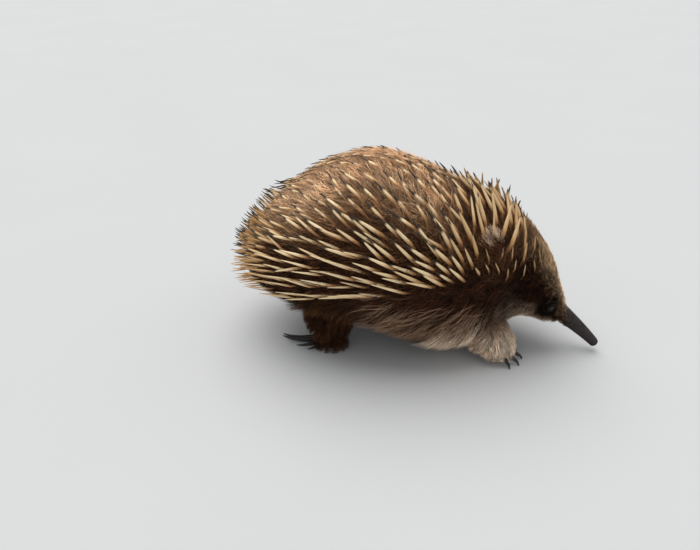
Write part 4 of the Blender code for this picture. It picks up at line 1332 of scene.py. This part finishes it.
def straightness(paths):
    """The cosine of each path's sharpest turn: 1 for a straight one, below 0 where it curls back."""
    steps = unit(np.diff(paths, axis=1))
    return np.min(np.sum(steps[:, 1:] * steps[:, :-1], axis=-1), axis=1)


# %% [markdown]
# ## The fur's finish
# Each hair is darker at its root, where light doesn't reach, and a little paler towards its tip. A tone
# for each lock and hair makes the coat uneven, as real fur is, and a fine noise in space lays dapples of
# light and shade over neighbouring hairs, as the curls of wool do.

# %% Fur finish
fur_finish = Finish("fur", Roughness=0.8, Specular_IOR_Level=0.06)
fur_along = fur_finish.attribute("along")
fur_tone = fur_finish.attribute("tone")
fur_colour = fur_finish.attribute("marking", "Color")
fur_cloud = fur_finish.noise(90.0, 3.0)
fur_dapple = fur_finish.noise(320.0, 2.0) * 1.3 + 0.35
rooted = fur_finish.between(fur_along, 0.0, 0.7) * 0.45 + 0.58
brightness = fur_finish.ramp(rooted * fur_tone * fur_dapple * 0.5, (0.0, (0, 0, 0)), (1.0, (2, 2, 2)))
toned = fur_finish.blend(1.0, fur_colour, brightness, "MULTIPLY")
fur_finish.feed("Base Color", fur_finish.blend(fur_cloud * 0.10, toned, (0.05, 0.028, 0.015)))

# %% [markdown]
# ## Which way the coat lies
# Fur and spines on the body point back towards the rump. They also rise towards the crest, by the
# degrees in a table, more on the back than on the flank, while on the belly they sink a little and on
# the nape they stand up. The same tables serve the fur and the spines, but the fur turns less.

# %% The lie of the coat
TURNS = ((0, 30), (14, 41), (30, 45), (60, 34), (90, 22), (106, 11), (122, -5), (150, -12), (180, 0))
REAR_TURNS = ((0, 30), (30, 42), (60, 21), (75, 12), (90, 4), (106, -5), (122, -12), (150, -14), (180, 0))
NAPE_X = (0.0200, 0.0740)
NAPE_TURN = 56.0
FUR_NAPE_TURN = 34.0
FUR_SHARE = 0.6
FACE_TURN = 8.0


def body_way(t, angle, point, normal, share, jitter, nape_turn=NAPE_TURN):
    """The direction of the coat at a place, by a share of the tables' turns and a jitter in degrees."""
    side = side_of(angle)
    turn = mix(look_up(side, REAR_TURNS), look_up(side, TURNS), ramp(t, 2.0, 4.6))
    nape = ramp(point[:, 0], *NAPE_X) * fall(t, 8.0, 9.6)
    upper = fall(side + 38.0 * fall(t, 6.9, 7.8), 80.0, 120.0)
    steep = nape_turn + 12.0 * ramp(point[:, 0], 0.050, 0.085)
    turn = turn + (steep - turn) * nape * upper
    turn = turn * ramp(side, -6.0, 18.0) * share + jitter
    turn = np.radians(turn * fall(t, 9.4, 10.4) - FACE_TURN * ramp(t, 9.4, 10.4))[:, None]
    back = unit(-FORWARD + normal * normal[:, :1])
    sign = np.where(np.sin(np.radians(angle)) < 0.0, -1.0, 1.0)[:, None]
    crestward = np.cross(back, normal) * sign
    return unit(back * np.cos(turn) + crestward * np.sin(turn))


# %% [markdown]
# ## Fur of the body
# Woolly and nearly two centimetres long on the back and flanks, in wavy locks; longer, hanging hair
# along the belly; and short, dense fur on the head that gets finer towards the beak. Every length,
# thickness and height is a function of the place.

# %% Fur of the body
TIP_HEIGHTS = ((0, -0.0015), (40, -0.0022), (60, -0.0036), (95, -0.0042), (115, -0.0005), (180, -0.0005))
BACK_HAIR = 0.0160
FACE_HAIR = 0.0085


def body_length(t, side):
    trunk = BACK_HAIR + 0.003 * ramp(side, 45.0, 75.0) + 0.011 * ramp(side, 92.0, 118.0)
    trunk = trunk - 0.012 * ramp(side, 150.0, 170.0) - 0.003 * fall(t, -0.5, 1.5)
    crown = 0.0035 * fall(t, 10.0, 11.6) * fall(side, 55.0, 100.0)
    face = FACE_HAIR - 0.0050 * ramp(t, 10.4, 13.0) + crown
    return mix(trunk, face, ramp(t, 7.2, 9.6))


def body_tip_height(t, side):
    """How far the tips of the fur are over the form's surface. Below 0 they are under it."""
    trunk = look_up(side, TIP_HEIGHTS)
    crown = 0.0016 * ramp(t, 7.6, 8.8) * fall(t, 10.3, 11.6) * fall(side, 55.0, 100.0)
    return mix(trunk, 0.0, ramp(t, 7.6, 9.4)) + crown - 0.0045 * chin_share(t, side)


def body_width(t, side):
    trunk = 0.00024 - 0.00002 * ramp(side, 95.0, 120.0)
    return mix(trunk, 0.00023, ramp(t, 8.0, 10.2)) - 0.00006 * ramp(t, 11.6, 13.4)


HAIR_ROWS = 5
CLUMP_SIZE = 10
ROOT_SUNK = 0.0007
EYE_CLEARANCE = 0.0051


def body_density(t, angle):
    side = np.abs(angle)
    trunk = 1.0 - 0.55 * ramp(side, 145.0, 165.0)
    return mix(trunk, 3.6, ramp(t, 7.8, 10.0))


# %% Growing the body's fur
def grow_body(count, seed):
    """Each hair's station, and then what `dress` asks for."""
    chance = np.random.default_rng(seed)
    u, v = scatter(body, count, seed + 1, body_density)
    side = np.abs(v)
    head = ramp(u, 8.0, 10.0)
    length = body_length(u, side) * chance.uniform(0.72, 1.18, count)
    jitter = chance.normal(0.0, 27.0, count) * (1.0 - 0.5 * head)
    point, _, _, _ = body.frame(u, v)
    swirl = 18.0 * drift(point, 0.030, 5) + 34.0 * drift(point, 0.009, 6)
    jitter = jitter + swirl * (1.0 - 0.8 * ramp(u, 8.4, 10.0))

    def heading(t, angle, place, normal):
        return body_way(t, angle, place, normal, FUR_SHARE, jitter, FUR_NAPE_TURN)

    points, normals = walk(body, u, v, heading, length, HAIR_ROWS)
    f = np.linspace(0.0, 1.0, HAIR_ROWS)[None, :]
    low = -coat_depth(u, v) - ROOT_SUNK
    high = body_tip_height(u, side) + chance.normal(0.0, 0.0015, count) * mix(1.0, 0.30, head)
    height = low[:, None] + (high - low)[:, None] * (1.0 - (1.0 - f) ** 1.5)
    paths = points + normals * height[..., None]
    droop = 0.007 * ramp(side, 95.0, 122.0) * ramp(u, 4.4, 6.0) * fall(u, 7.4, 8.2)
    droop = droop + 0.006 * ramp(side, 116.0, 134.0) * ramp(u, 2.4, 3.0) * fall(u, 3.4, 4.4)
    paths = paths - UP * (droop[:, None] * f**2)[..., None]
    clumps = count // CLUMP_SIZE
    paths, leader = gather(paths, clumps, 0.45, chance)
    waves = np.random.default_rng(seed + 7)
    phase = waves.uniform(0.0, math.tau, clumps)[leader][:, None] + chance.uniform(-0.6, 0.6, count)[:, None]
    swing = mix(0.0016, 0.0004, head) + 0.0006 * ramp(side, 95.0, 120.0) * fall(u, 8.0, 9.0)
    aside = unit(np.cross(normals, np.gradient(points, axis=1)))
    paths = paths + aside * (np.sin(f * 8.5 + phase) * f * swing[:, None])[..., None]
    tone = waves.uniform(0.50, 1.42, clumps)[leader] * chance.uniform(0.72, 1.28, count)
    guard = chance.uniform(size=count)
    tone = tone * np.where(guard < 0.14, 1.75 + 1.1 * ramp(side, 70.0, 95.0), 1.0)
    tone = tone * np.where(guard > 0.84, 0.5, 1.0)
    colours = body_marking(u, v, body_skin(u, v))
    clear = straightness(paths) > 0.35
    for centre, _ in eyes.values():
        for row in (0, 2, HAIR_ROWS - 1):
            clear &= np.linalg.norm(paths[:, row] - centre, axis=-1) > EYE_CLEARANCE
    found = (u, paths, normals, body_width(u, side), colours, tone, body.on_plot(u, v))
    return [values[clear] for values in found]


# %% Dressing the body in seven pieces
BODY_HAIRS = 44500
BODY_PIECES = ("rump", "loin", "back", "ribs", "shoulder", "neck", "face")
FUR_PROFILE = (1.0, 1.0, 0.85, 0.5)
HAIR_SIDES = 3
HAIR_FLATNESS = 0.75
coat_triangles = []


def dress(name, found, profile):
    """Makes a region's fur into a piece that rides on the frame."""
    paths, normals, widths, colours, tone, roots = found
    made, triangles = strands(name, paths, normals, widths, profile, HAIR_SIDES, HAIR_FLATNESS, colours,
                              roots, {"tone": tone})
    made.data.materials.append(fur_finish.material)
    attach(made, "root")
    coat_triangles.append(triangles)
    print(f"{name}: {len(paths)} hairs, {triangles} triangles")


u, *found = grow_body(BODY_HAIRS, 11)
edges = np.quantile(u, np.linspace(0.0, 1.0, len(BODY_PIECES) + 1))
edges[-1] = np.inf
for name, low, high in zip(BODY_PIECES, edges[:-1], edges[1:]):
    chosen = (u >= low) & (u < high)
    dress(f"fur_{name}", [values[chosen] for values in found], FUR_PROFILE)

# %% [markdown]
# ## Legs, feet, tail and ears
# The foreleg wears a fan of long blond hair that falls over the foot and sweeps back, the hind leg a
# darker, curlier coat, and the feet short hair between the claws. The ears are only a fuzz.

# %% Fur of a form
FORM_CLUMP_SIZE = 12


def simple_fur(name, form, count, seed, heading, length, low, high, marking, width, swing,
               rows=4, u_range=None, pull=0.5, free=0.0):
    """Fur on a form other than the body. Free hairs stand off in a straight line, the others hug the form."""
    chance = np.random.default_rng(seed)
    u, v = scatter(form, count, seed + 1, lambda u, v: np.ones_like(u), u_range)
    long = length(u, v) * chance.uniform(0.7, 1.2, count)
    points, normals = walk(form, u, v, heading, long, rows)
    f = np.linspace(0.0, 1.0, rows)[None, :]
    ahead = heading(u, v, points[:, 0], normals[:, 0])[:, None] * (long[:, None] * f)[..., None]
    points = mix(points, points[:, :1] + ahead, np.full((count, rows), free))
    tips = high + chance.normal(0.0, 0.35 * high, count)
    height = low + (tips[:, None] - low) * (1.0 - (1.0 - f) ** 1.7)
    paths = points + normals * height[..., None]
    clumps = count // FORM_CLUMP_SIZE
    paths, leader = gather(paths, clumps, pull, chance)
    phase = chance.uniform(0.0, math.tau, clumps)[leader][:, None]
    aside = unit(np.cross(normals, np.gradient(points, axis=1)))
    paths = paths + aside * (np.sin(f * 7.5 + phase) * f * swing)[..., None]
    tone = chance.uniform(0.5, 1.5, clumps)[leader] * chance.uniform(0.7, 1.3, count)
    profile = np.interp(np.linspace(0, 1, rows)[:-1], (0, 0.5, 0.8), (1.0, 0.9, 0.55))
    found = (paths, normals, np.full(count, width), marking(u, v, points[:, 0]), tone, form.on_plot(u, v))
    straight = straightness(paths) > 0.3
    dress(name, [values[straight] for values in found], profile)


# %% Fur of the legs and feet
def leg_way(sweep):
    """Down, and back by a sweep behind the leg, where the hair is longest."""
    def heading(t, angle, point, normal):
        behind = behind_share(angle)[:, None]
        before = np.clip(np.cos(np.radians(angle)), 0.0, 1.0)[:, None]
        return unit(-UP - FORWARD * sweep * (0.15 + behind) + FORWARD * 0.35 * before)
    return heading


def foot_way(u, v, point, normal):
    flat = normal * (1.0, 1.0, 0.0)
    return unit(unit(flat) * 0.8 - UP * 0.6)


# Length, how much longer behind, how much shorter below, height of the tips, share of free hair, sweep.
LEG_FUR = {"fore": (0.025, 0.010, 0.72, 0.0050, 0.35, 0.9), "hind": (0.018, 0.005, 0.5, 0.0040, 0.30, 0.65)}
FOOT_FUR = {"fore": (0.0052, 0.0006, 0.0), "hind": (0.0120, 0.0026, 0.5)}
for turn, (key, form) in enumerate(legs.items()):
    base, extra, less, high, free, sweep = LEG_FUR[key.split("_")[0]]

    def leg_length(u, v, base=base, extra=extra, less=less):
        return (base + extra * behind_share(v)) * (1.0 - less * ramp(u, 1.3, 2.8))

    simple_fur(f"fur_{key}", form, 3100, 100 + turn * 10, leg_way(sweep), leg_length, -0.0042, high,
               leg_marking(key), 0.00022, 0.0028, rows=5, u_range=(0.5, 3.0), pull=0.7, free=free)
for turn, (key, form) in enumerate(feet.items()):
    long, high, free = FOOT_FUR[key.split("_")[0]]
    simple_fur(f"fur_{key}_foot", form, 900, 200 + turn * 10, foot_way, constant(long), -0.0018, high,
               foot_marking(key), 0.00020, 0.0008, free=free)


# %% Fur of the tail and ears
def tail_way(u, v, point, normal):
    return unit(unit(TAIL_TIP - TAIL_ROOT) + normal * 0.2)


simple_fur("fur_tail", tail, 900, 300, tail_way, constant(0.018), -0.0035, 0.002, plain_marking(RUMP),
           0.00024, 0.0006)


def ear_marking(centre, axes):
    """Pale hairs on the upper rim of the ear, and the brown of the nape below them."""
    def marking(u, v, point):
        height = (point - centre) @ axes[1] / EAR_HALF[1]
        pale = np.random.default_rng(9).uniform(size=len(u)) < 0.80 * ramp(height, -0.70, 0.45)
        return np.where(pale[:, None], EARED, DARK * 2.0)
    return marking


for seed, (side, form) in zip((315, 314), ear_forms.items()):
    centre, axes = ears[side]

    def ear_way(u, v, point, normal, axes=axes):
        return unit(axes[1] * 0.75 + axes[2] * 0.25 - axes[0] * 0.65 + normal * 0.40)

    simple_fur(f"fur_ear_{side}", form, 1000, seed, ear_way, constant(0.0125), -0.0012, 0.0014,
               ear_marking(centre, axes), 0.00020, 0.0014, pull=0.35, free=0.9)

# %% [markdown]
# ## The fringe
# Along the belly and behind the elbow long, pale guard hairs hang over the darker wool. They are few,
# but they catch the light, so they are their own pieces.

# %% Fringe
def fringe_share(t, side, ends, low, high):
    """How dense a fringe is at a place: it thins out towards all its edges."""
    lengthwise = ramp(t, ends[0], ends[0] + 0.9) * fall(t, ends[1] - 0.9, ends[1])
    return lengthwise * ramp(side, low, low + 22.0) * fall(side, high - 12.0, high)


FRINGE_ROWS = 6
FRINGE_PROFILE = (1.0, 1.0, 0.9, 0.75, 0.45)
FRINGE_CLUMP_SIZE = 7
FRINGE_SWING = 0.0034


def grow_fringe(name, count, seed, u_range, v_low, v_high, length, colour, high, width, hang):
    """Long hairs on a part of the body, that hang down by a share of their direction."""
    def density(u, v):
        return fringe_share(u, np.abs(v), u_range, v_low, v_high)

    chance = np.random.default_rng(seed)
    u, v = scatter(body, count, seed + 1, density, u_range)
    long = length * chance.uniform(0.7, 1.25, count)
    jitter = chance.normal(0.0, 13.0, count)

    def heading(t, angle, place, normal):
        return unit(body_way(t, angle, place, normal, 1.0, jitter) - UP * hang)

    points, normals = walk(body, u, v, heading, long, FRINGE_ROWS)
    f = np.linspace(0.0, 1.0, FRINGE_ROWS)[None, :]
    low = -coat_depth(u, v) - 0.0005
    tips = high + chance.normal(0.0, 0.0012, count)
    height = low[:, None] + (tips - low)[:, None] * (1.0 - (1.0 - f) ** 2.0)
    paths = points + normals * height[..., None]
    paths = paths - UP * (0.010 * hang * f**2)[..., None]
    clumps = count // FRINGE_CLUMP_SIZE
    paths, leader = gather(paths, clumps, 0.75, chance)
    phase = chance.uniform(0.0, math.tau, clumps)[leader][:, None]
    aside = unit(np.cross(normals, np.gradient(points, axis=1)))
    paths = paths + aside * (np.sin(f * 7.0 + phase) * f * FRINGE_SWING)[..., None]
    tone = chance.uniform(0.45, 1.5, count)
    colours = np.broadcast_to(colour, (count, 3))
    found = (paths, normals, np.full(count, width), colours, tone, body.on_plot(u, v))
    straight = straightness(paths) > 0.80
    dress(name, [values[straight] for values in found], FRINGE_PROFILE)


BUFF = np.array([0.42, 0.265, 0.170])
grow_fringe("fringe_belly", 1700, 400, (4.2, 7.9), 90.0, 156.0, 0.036, BUFF, 0.0018, 0.00018, 0.45)
grow_fringe("fringe_rear", 1300, 410, (2.5, 4.3), 112.0, 160.0, 0.026, RUST * 0.8, 0.0004, 0.00022, 0.8)
grow_fringe("fringe_elbow", 2000, 420, (5.8, 7.7), 104.0, 168.0, 0.036, BLOND, 0.0024, 0.00019, 0.8)
print("The fur has", sum(coat_triangles), "triangles")

# %% [markdown]
# ## Spines
# A spine is a thick hair of keratin: tan at its root, cream along its shaft and black at the tip. It is
# widest below the middle. On the flanks they lie in overlapping rows, on the upper back mostly the black
# tips come through the wool, on the rump they stand in a dense fan, and on the nape they rise. They are
# placed one by one, each at some distance from all before it, so that they look neither ruled nor heaped.

# %% Placing spines
def spaced(count, seed, spacing, u_range, v_edge):
    """Roots on the body that keep a distance from each other, given as a function of the place."""
    chance = np.random.default_rng(seed)
    u, v = scatter(body, count, seed, lambda u, v: np.ones_like(u), u_range)
    keep = np.abs(v) < v_edge(u)
    u, v = u[keep], v[keep]
    points = body.place(u, v)
    gap = spacing(u, np.abs(v)) * chance.uniform(0.82, 1.2, len(u))
    taken = []
    for i in range(len(u)):
        if not taken or np.min(np.linalg.norm(points[taken] - points[i], axis=1)) > gap[i]:
            taken.append(i)
    return u[taken], v[taken]


# Gaps by the angle from the crest, and by the station the angle down to which there are spines.
SPINE_GAPS = ((0, 0.0180), (35, 0.0160), (60, 0.0136), (85, 0.0121), (118, 0.0110))
FAN_GAP = 0.0054
NAPE_GAP = 0.0120
SPINE_EDGES = ((-1, 165), (0, 155), (1, 145), (2, 125), (2.5, 118), (3, 111), (3.5, 109), (4, 105),
               (4.5, 99), (5, 92), (5.5, 87), (6, 80), (6.5, 77), (7, 72), (7.5, 72), (8, 78), (8.6, 74),
               (9, 56), (9.5, 30), (9.8, 10))


def spine_gap(t, side):
    trunk = look_up(side, SPINE_GAPS) - 0.0030 * ramp(t, 4.6, 5.6) * fall(side, 40.0, 52.0)
    gap = mix(FAN_GAP, trunk, ramp(t, 0.3, 2.7))
    gap = gap - 0.0028 * ramp(t, 4.6, 5.6) * ramp(side, 48.0, 60.0)
    return mix(gap, NAPE_GAP, ramp(t, 5.9, 6.9) * fall(side, 44.0, 70.0))


def spine_edge(t):
    return look_up(t, SPINE_EDGES)


# %% [markdown]
# ## The line of a spine
# Each spine has a start, where it comes out of the wool, and an end. On the flank the end is found by a
# walk along the coat, and lies a little over the wool. On the rump the spine stands free and joins the
# fan. Below the start the line goes on and bends down into the skin, where nobody sees it. All that
# varies does so by tables over the angle from the crest, and by how much a place is rump, nape or head.

# %% Lengths and lines of spines
SPINE_LENGTHS = ((0, 0.025), (22, 0.029), (35, 0.031), (60, 0.030), (85, 0.031), (100, 0.032))
SPINE_RISES = ((0, -0.0014), (35, 0.0018), (60, 0.0044), (90, 0.0056), (118, 0.0050))
FAN_TILTS = ((0, 50), (30, 44), (60, 25), (75, 14), (90, 5), (110, -5), (150, -14), (180, -14))
SPINE_SHARES = np.array([0.0, 0.10, 0.22, 0.34, 0.48, 0.64, 0.80, 0.92, 1.0])
SPINE_SHOWS = 0.22
HEAD_SPINE = 0.014
DEEPER = 0.0026
DEEP_SHARE = 0.35
NAPE_RISE = 0.0120


def spine_zones(u, side, x):
    """How much each place belongs to the rump, the nape and the head."""
    rump = fall(u, 0.9, 2.3)
    nape = ramp(x, *NAPE_X) * fall(side, 60.0, 95.0)
    head = np.maximum(ramp(u, 7.7, 9.0), ramp(u, 6.2, 7.2) * ramp(side, 42.0, 62.0))
    return rump, nape, head


def spine_length(u, side, zones):
    rump, nape, head = zones
    low_rear = ramp(side, 75.0, 100.0) * ramp(u, 1.2, 2.0) * fall(u, 4.2, 5.4)
    length = look_up(side, SPINE_LENGTHS) - 0.002 * low_rear - 0.012 * rump
    length = length - 0.004 * ramp(u, 5.4, 6.4) * ramp(side, 55.0, 75.0)
    return mix(length + 0.002 * nape, HEAD_SPINE, head)


def spine_paths(u, v, zones, length, jitter, chance):
    """The line of each spine, and the way out of the body where it starts."""
    _, nape, head = zones
    side = np.abs(v)
    point, _, _, normal = body.frame(u, v)

    def heading(t, angle, place, normal):
        return body_way(t, angle, place, normal, 1.0, jitter)

    points, normals = walk(body, u, v, heading, length, 6)
    deep = DEEPER * (chance.uniform(size=len(u)) < DEEP_SHARE)
    deep = deep * ramp(u, 2.0, 3.0) * (1.0 - nape) * (1.0 - head)
    fur_top = body_tip_height(u, side) - deep
    start_height = fur_top - 0.0026
    raised = ramp(point[:, 0], 0.036, 0.078) * fall(side, 60.0, 95.0)
    rise = look_up(side, SPINE_RISES) + NAPE_RISE * raised * (1.0 - head) - 0.0015 * head
    rise = rise + chance.normal(0.0, 0.0011, len(u))
    start = points[:, 0] + normals[:, 0] * start_height[:, None]
    end = points[:, -1] + normals[:, -1] * (fur_top + rise)[:, None]
    tilt = np.radians(look_up(side, FAN_TILTS) + jitter)[:, None]
    fan = unit(-FORWARD * np.cos(tilt) + UP * np.sin(tilt) + normal * (0.15, 0.25, 0.15))
    lying = heading(u, v, point, normal) + normal * (0.10 + 0.12 * ramp(side, 30.0, 60.0))[:, None]
    way = unit(mix(lying, fan, fall(u, 0.8, 2.6)))
    end = mix(end, start + way * length[:, None], fall(u, 2.2, 3.8))
    shown = ((SPINE_SHARES - SPINE_SHOWS) / (1.0 - SPINE_SHOWS)).clip(0.0)[None, :, None]
    hidden = ((SPINE_SHOWS - SPINE_SHARES) / SPINE_SHOWS).clip(0.0)[None, :, None]
    buried = np.maximum(coat_depth(u, v) + 0.003 + start_height, 0.002)[:, None, None]
    paths = start[:, None] + (end - start)[:, None] * shown
    paths = paths - unit(end - start)[:, None] * hidden * 0.011 - normals[:, :1] * buried * hidden**1.6
    return paths, normals[:, :1]


# %% Thickness and marks of spines
SPINE_WIDTHS = ((0, 0.00150), (35, 0.00176), (60, 0.00190), (88, 0.00188), (104, 0.00160), (118, 0.00126))
SPINE_BLACKS = ((0, 0.55), (35, 0.62), (62, 0.72), (84, 0.86), (95, 1.1))
SPINE_PROFILE = (0.6, 0.88, 0.99, 1.0, 0.92, 0.72, 0.48, 0.30)
SPINE_SIDES = 6
SPINE_FLATNESS = 0.95


def spine_width(u, side, zones, chance):
    rump, nape, head = zones
    widths = look_up(side, SPINE_WIDTHS)
    widths = widths * (1.0 - 0.20 * fall(u, 2.6, 4.4))
    widths = widths * (1.0 - 0.10 * rump) * (1.0 + 0.30 * nape) * (1.0 - 0.60 * head)
    return widths * chance.uniform(0.84 - 0.12 * nape, 1.12)


def spine_marks(u, side, zones, chance):
    """From which share of its length each spine is black, and how tan rather than cream its shaft is."""
    rump, nape, head = zones
    upper_rump = rump * fall(side, 66.0, 96.0)
    black = mix(look_up(side, SPINE_BLACKS), 0.74 + 0.14 * nape, np.maximum(upper_rump, nape))
    black = black + 0.12 * rump * ramp(side, 70.0, 100.0)
    black = black + chance.normal(0.0, 0.05, len(u)) * (1.0 + 1.6 * rump)
    tan = 0.18 + 0.80 * fall(u, 1.0, 2.9) + 0.42 * nape + 0.2 * head
    return black, np.clip(tan + chance.normal(0, 0.10, len(u)), 0.0, 1.0)


# %% [markdown]
# ## The spines' finish
# Polished by the wool around it, a spine shines a little. Its colours change along it: dark amber in the
# wool, then cream or tan, and then black, from a place that differs from spine to spine.

# %% Spine finish
spine_finish = Finish("spine", Specular_IOR_Level=0.32)
spine_along = spine_finish.attribute("along")
spine_black = spine_finish.attribute("black")
spine_tan = spine_finish.attribute("tan")
streak = spine_finish.noise(700.0, 3.0)
shaft = spine_finish.blend(spine_tan, (0.92, 0.73, 0.44), (0.50, 0.275, 0.095))
amber = spine_finish.blend(spine_finish.between(spine_along, 0.24, 0.52), (0.56, 0.31, 0.12), shaft)
base = spine_finish.blend(spine_finish.between(spine_along, 0.14, 0.34), (0.34, 0.15, 0.055), amber)
black = spine_finish.between(spine_along - spine_black, -0.05, 0.06)
coloured = spine_finish.blend(black, base, (0.016, 0.013, 0.012))
spine_finish.feed("Base Color", spine_finish.blend(streak * 0.16, coloured, (0.30, 0.20, 0.11)))
spine_finish.feed("Roughness", 0.34 + streak * 0.2 + black * 0.25)
spine_finish.feed("Normal", spine_finish.bump(streak, 0.0002, 0.4))

# %% Growing the spines
def make_spines(name, u, v, seed):
    chance = np.random.default_rng(seed)
    count = len(u)
    side = np.abs(v)
    zones = spine_zones(u, side, body.frame(u, v)[0][:, 0])
    length = spine_length(u, side, zones) * chance.uniform(0.78, 1.14, count)
    jitter = chance.normal(0.0, 6.5, count) * (1.0 + 0.5 * zones[1])
    paths, normals = spine_paths(u, v, zones, length, jitter, chance)
    widths = spine_width(u, side, zones, chance)
    black, tan = spine_marks(u, side, zones, chance)
    extra = {"tone": chance.uniform(0.85, 1.1, count), "black": black, "tan": tan}
    made, triangles = strands(name, paths, normals, widths, SPINE_PROFILE, SPINE_SIDES, SPINE_FLATNESS,
                              body_marking(u, v, body_skin(u, v)), body.on_plot(u, v), extra, SPINE_SHARES)
    made.data.materials.append(spine_finish.material)
    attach(made, "root")
    print(f"{name}: {count} spines, {triangles} triangles")


u, v = spaced(24000, 21, spine_gap, (-0.8, 9.8), spine_edge)
for name, low, high in (("spines_rump", -1.0, 2.0), ("spines_back", 2.0, 6.2), ("spines_nape", 6.2, 10.0)):
    chosen = (u >= low) & (u < high)
    make_spines(name, u[chosen], v[chosen], 31)
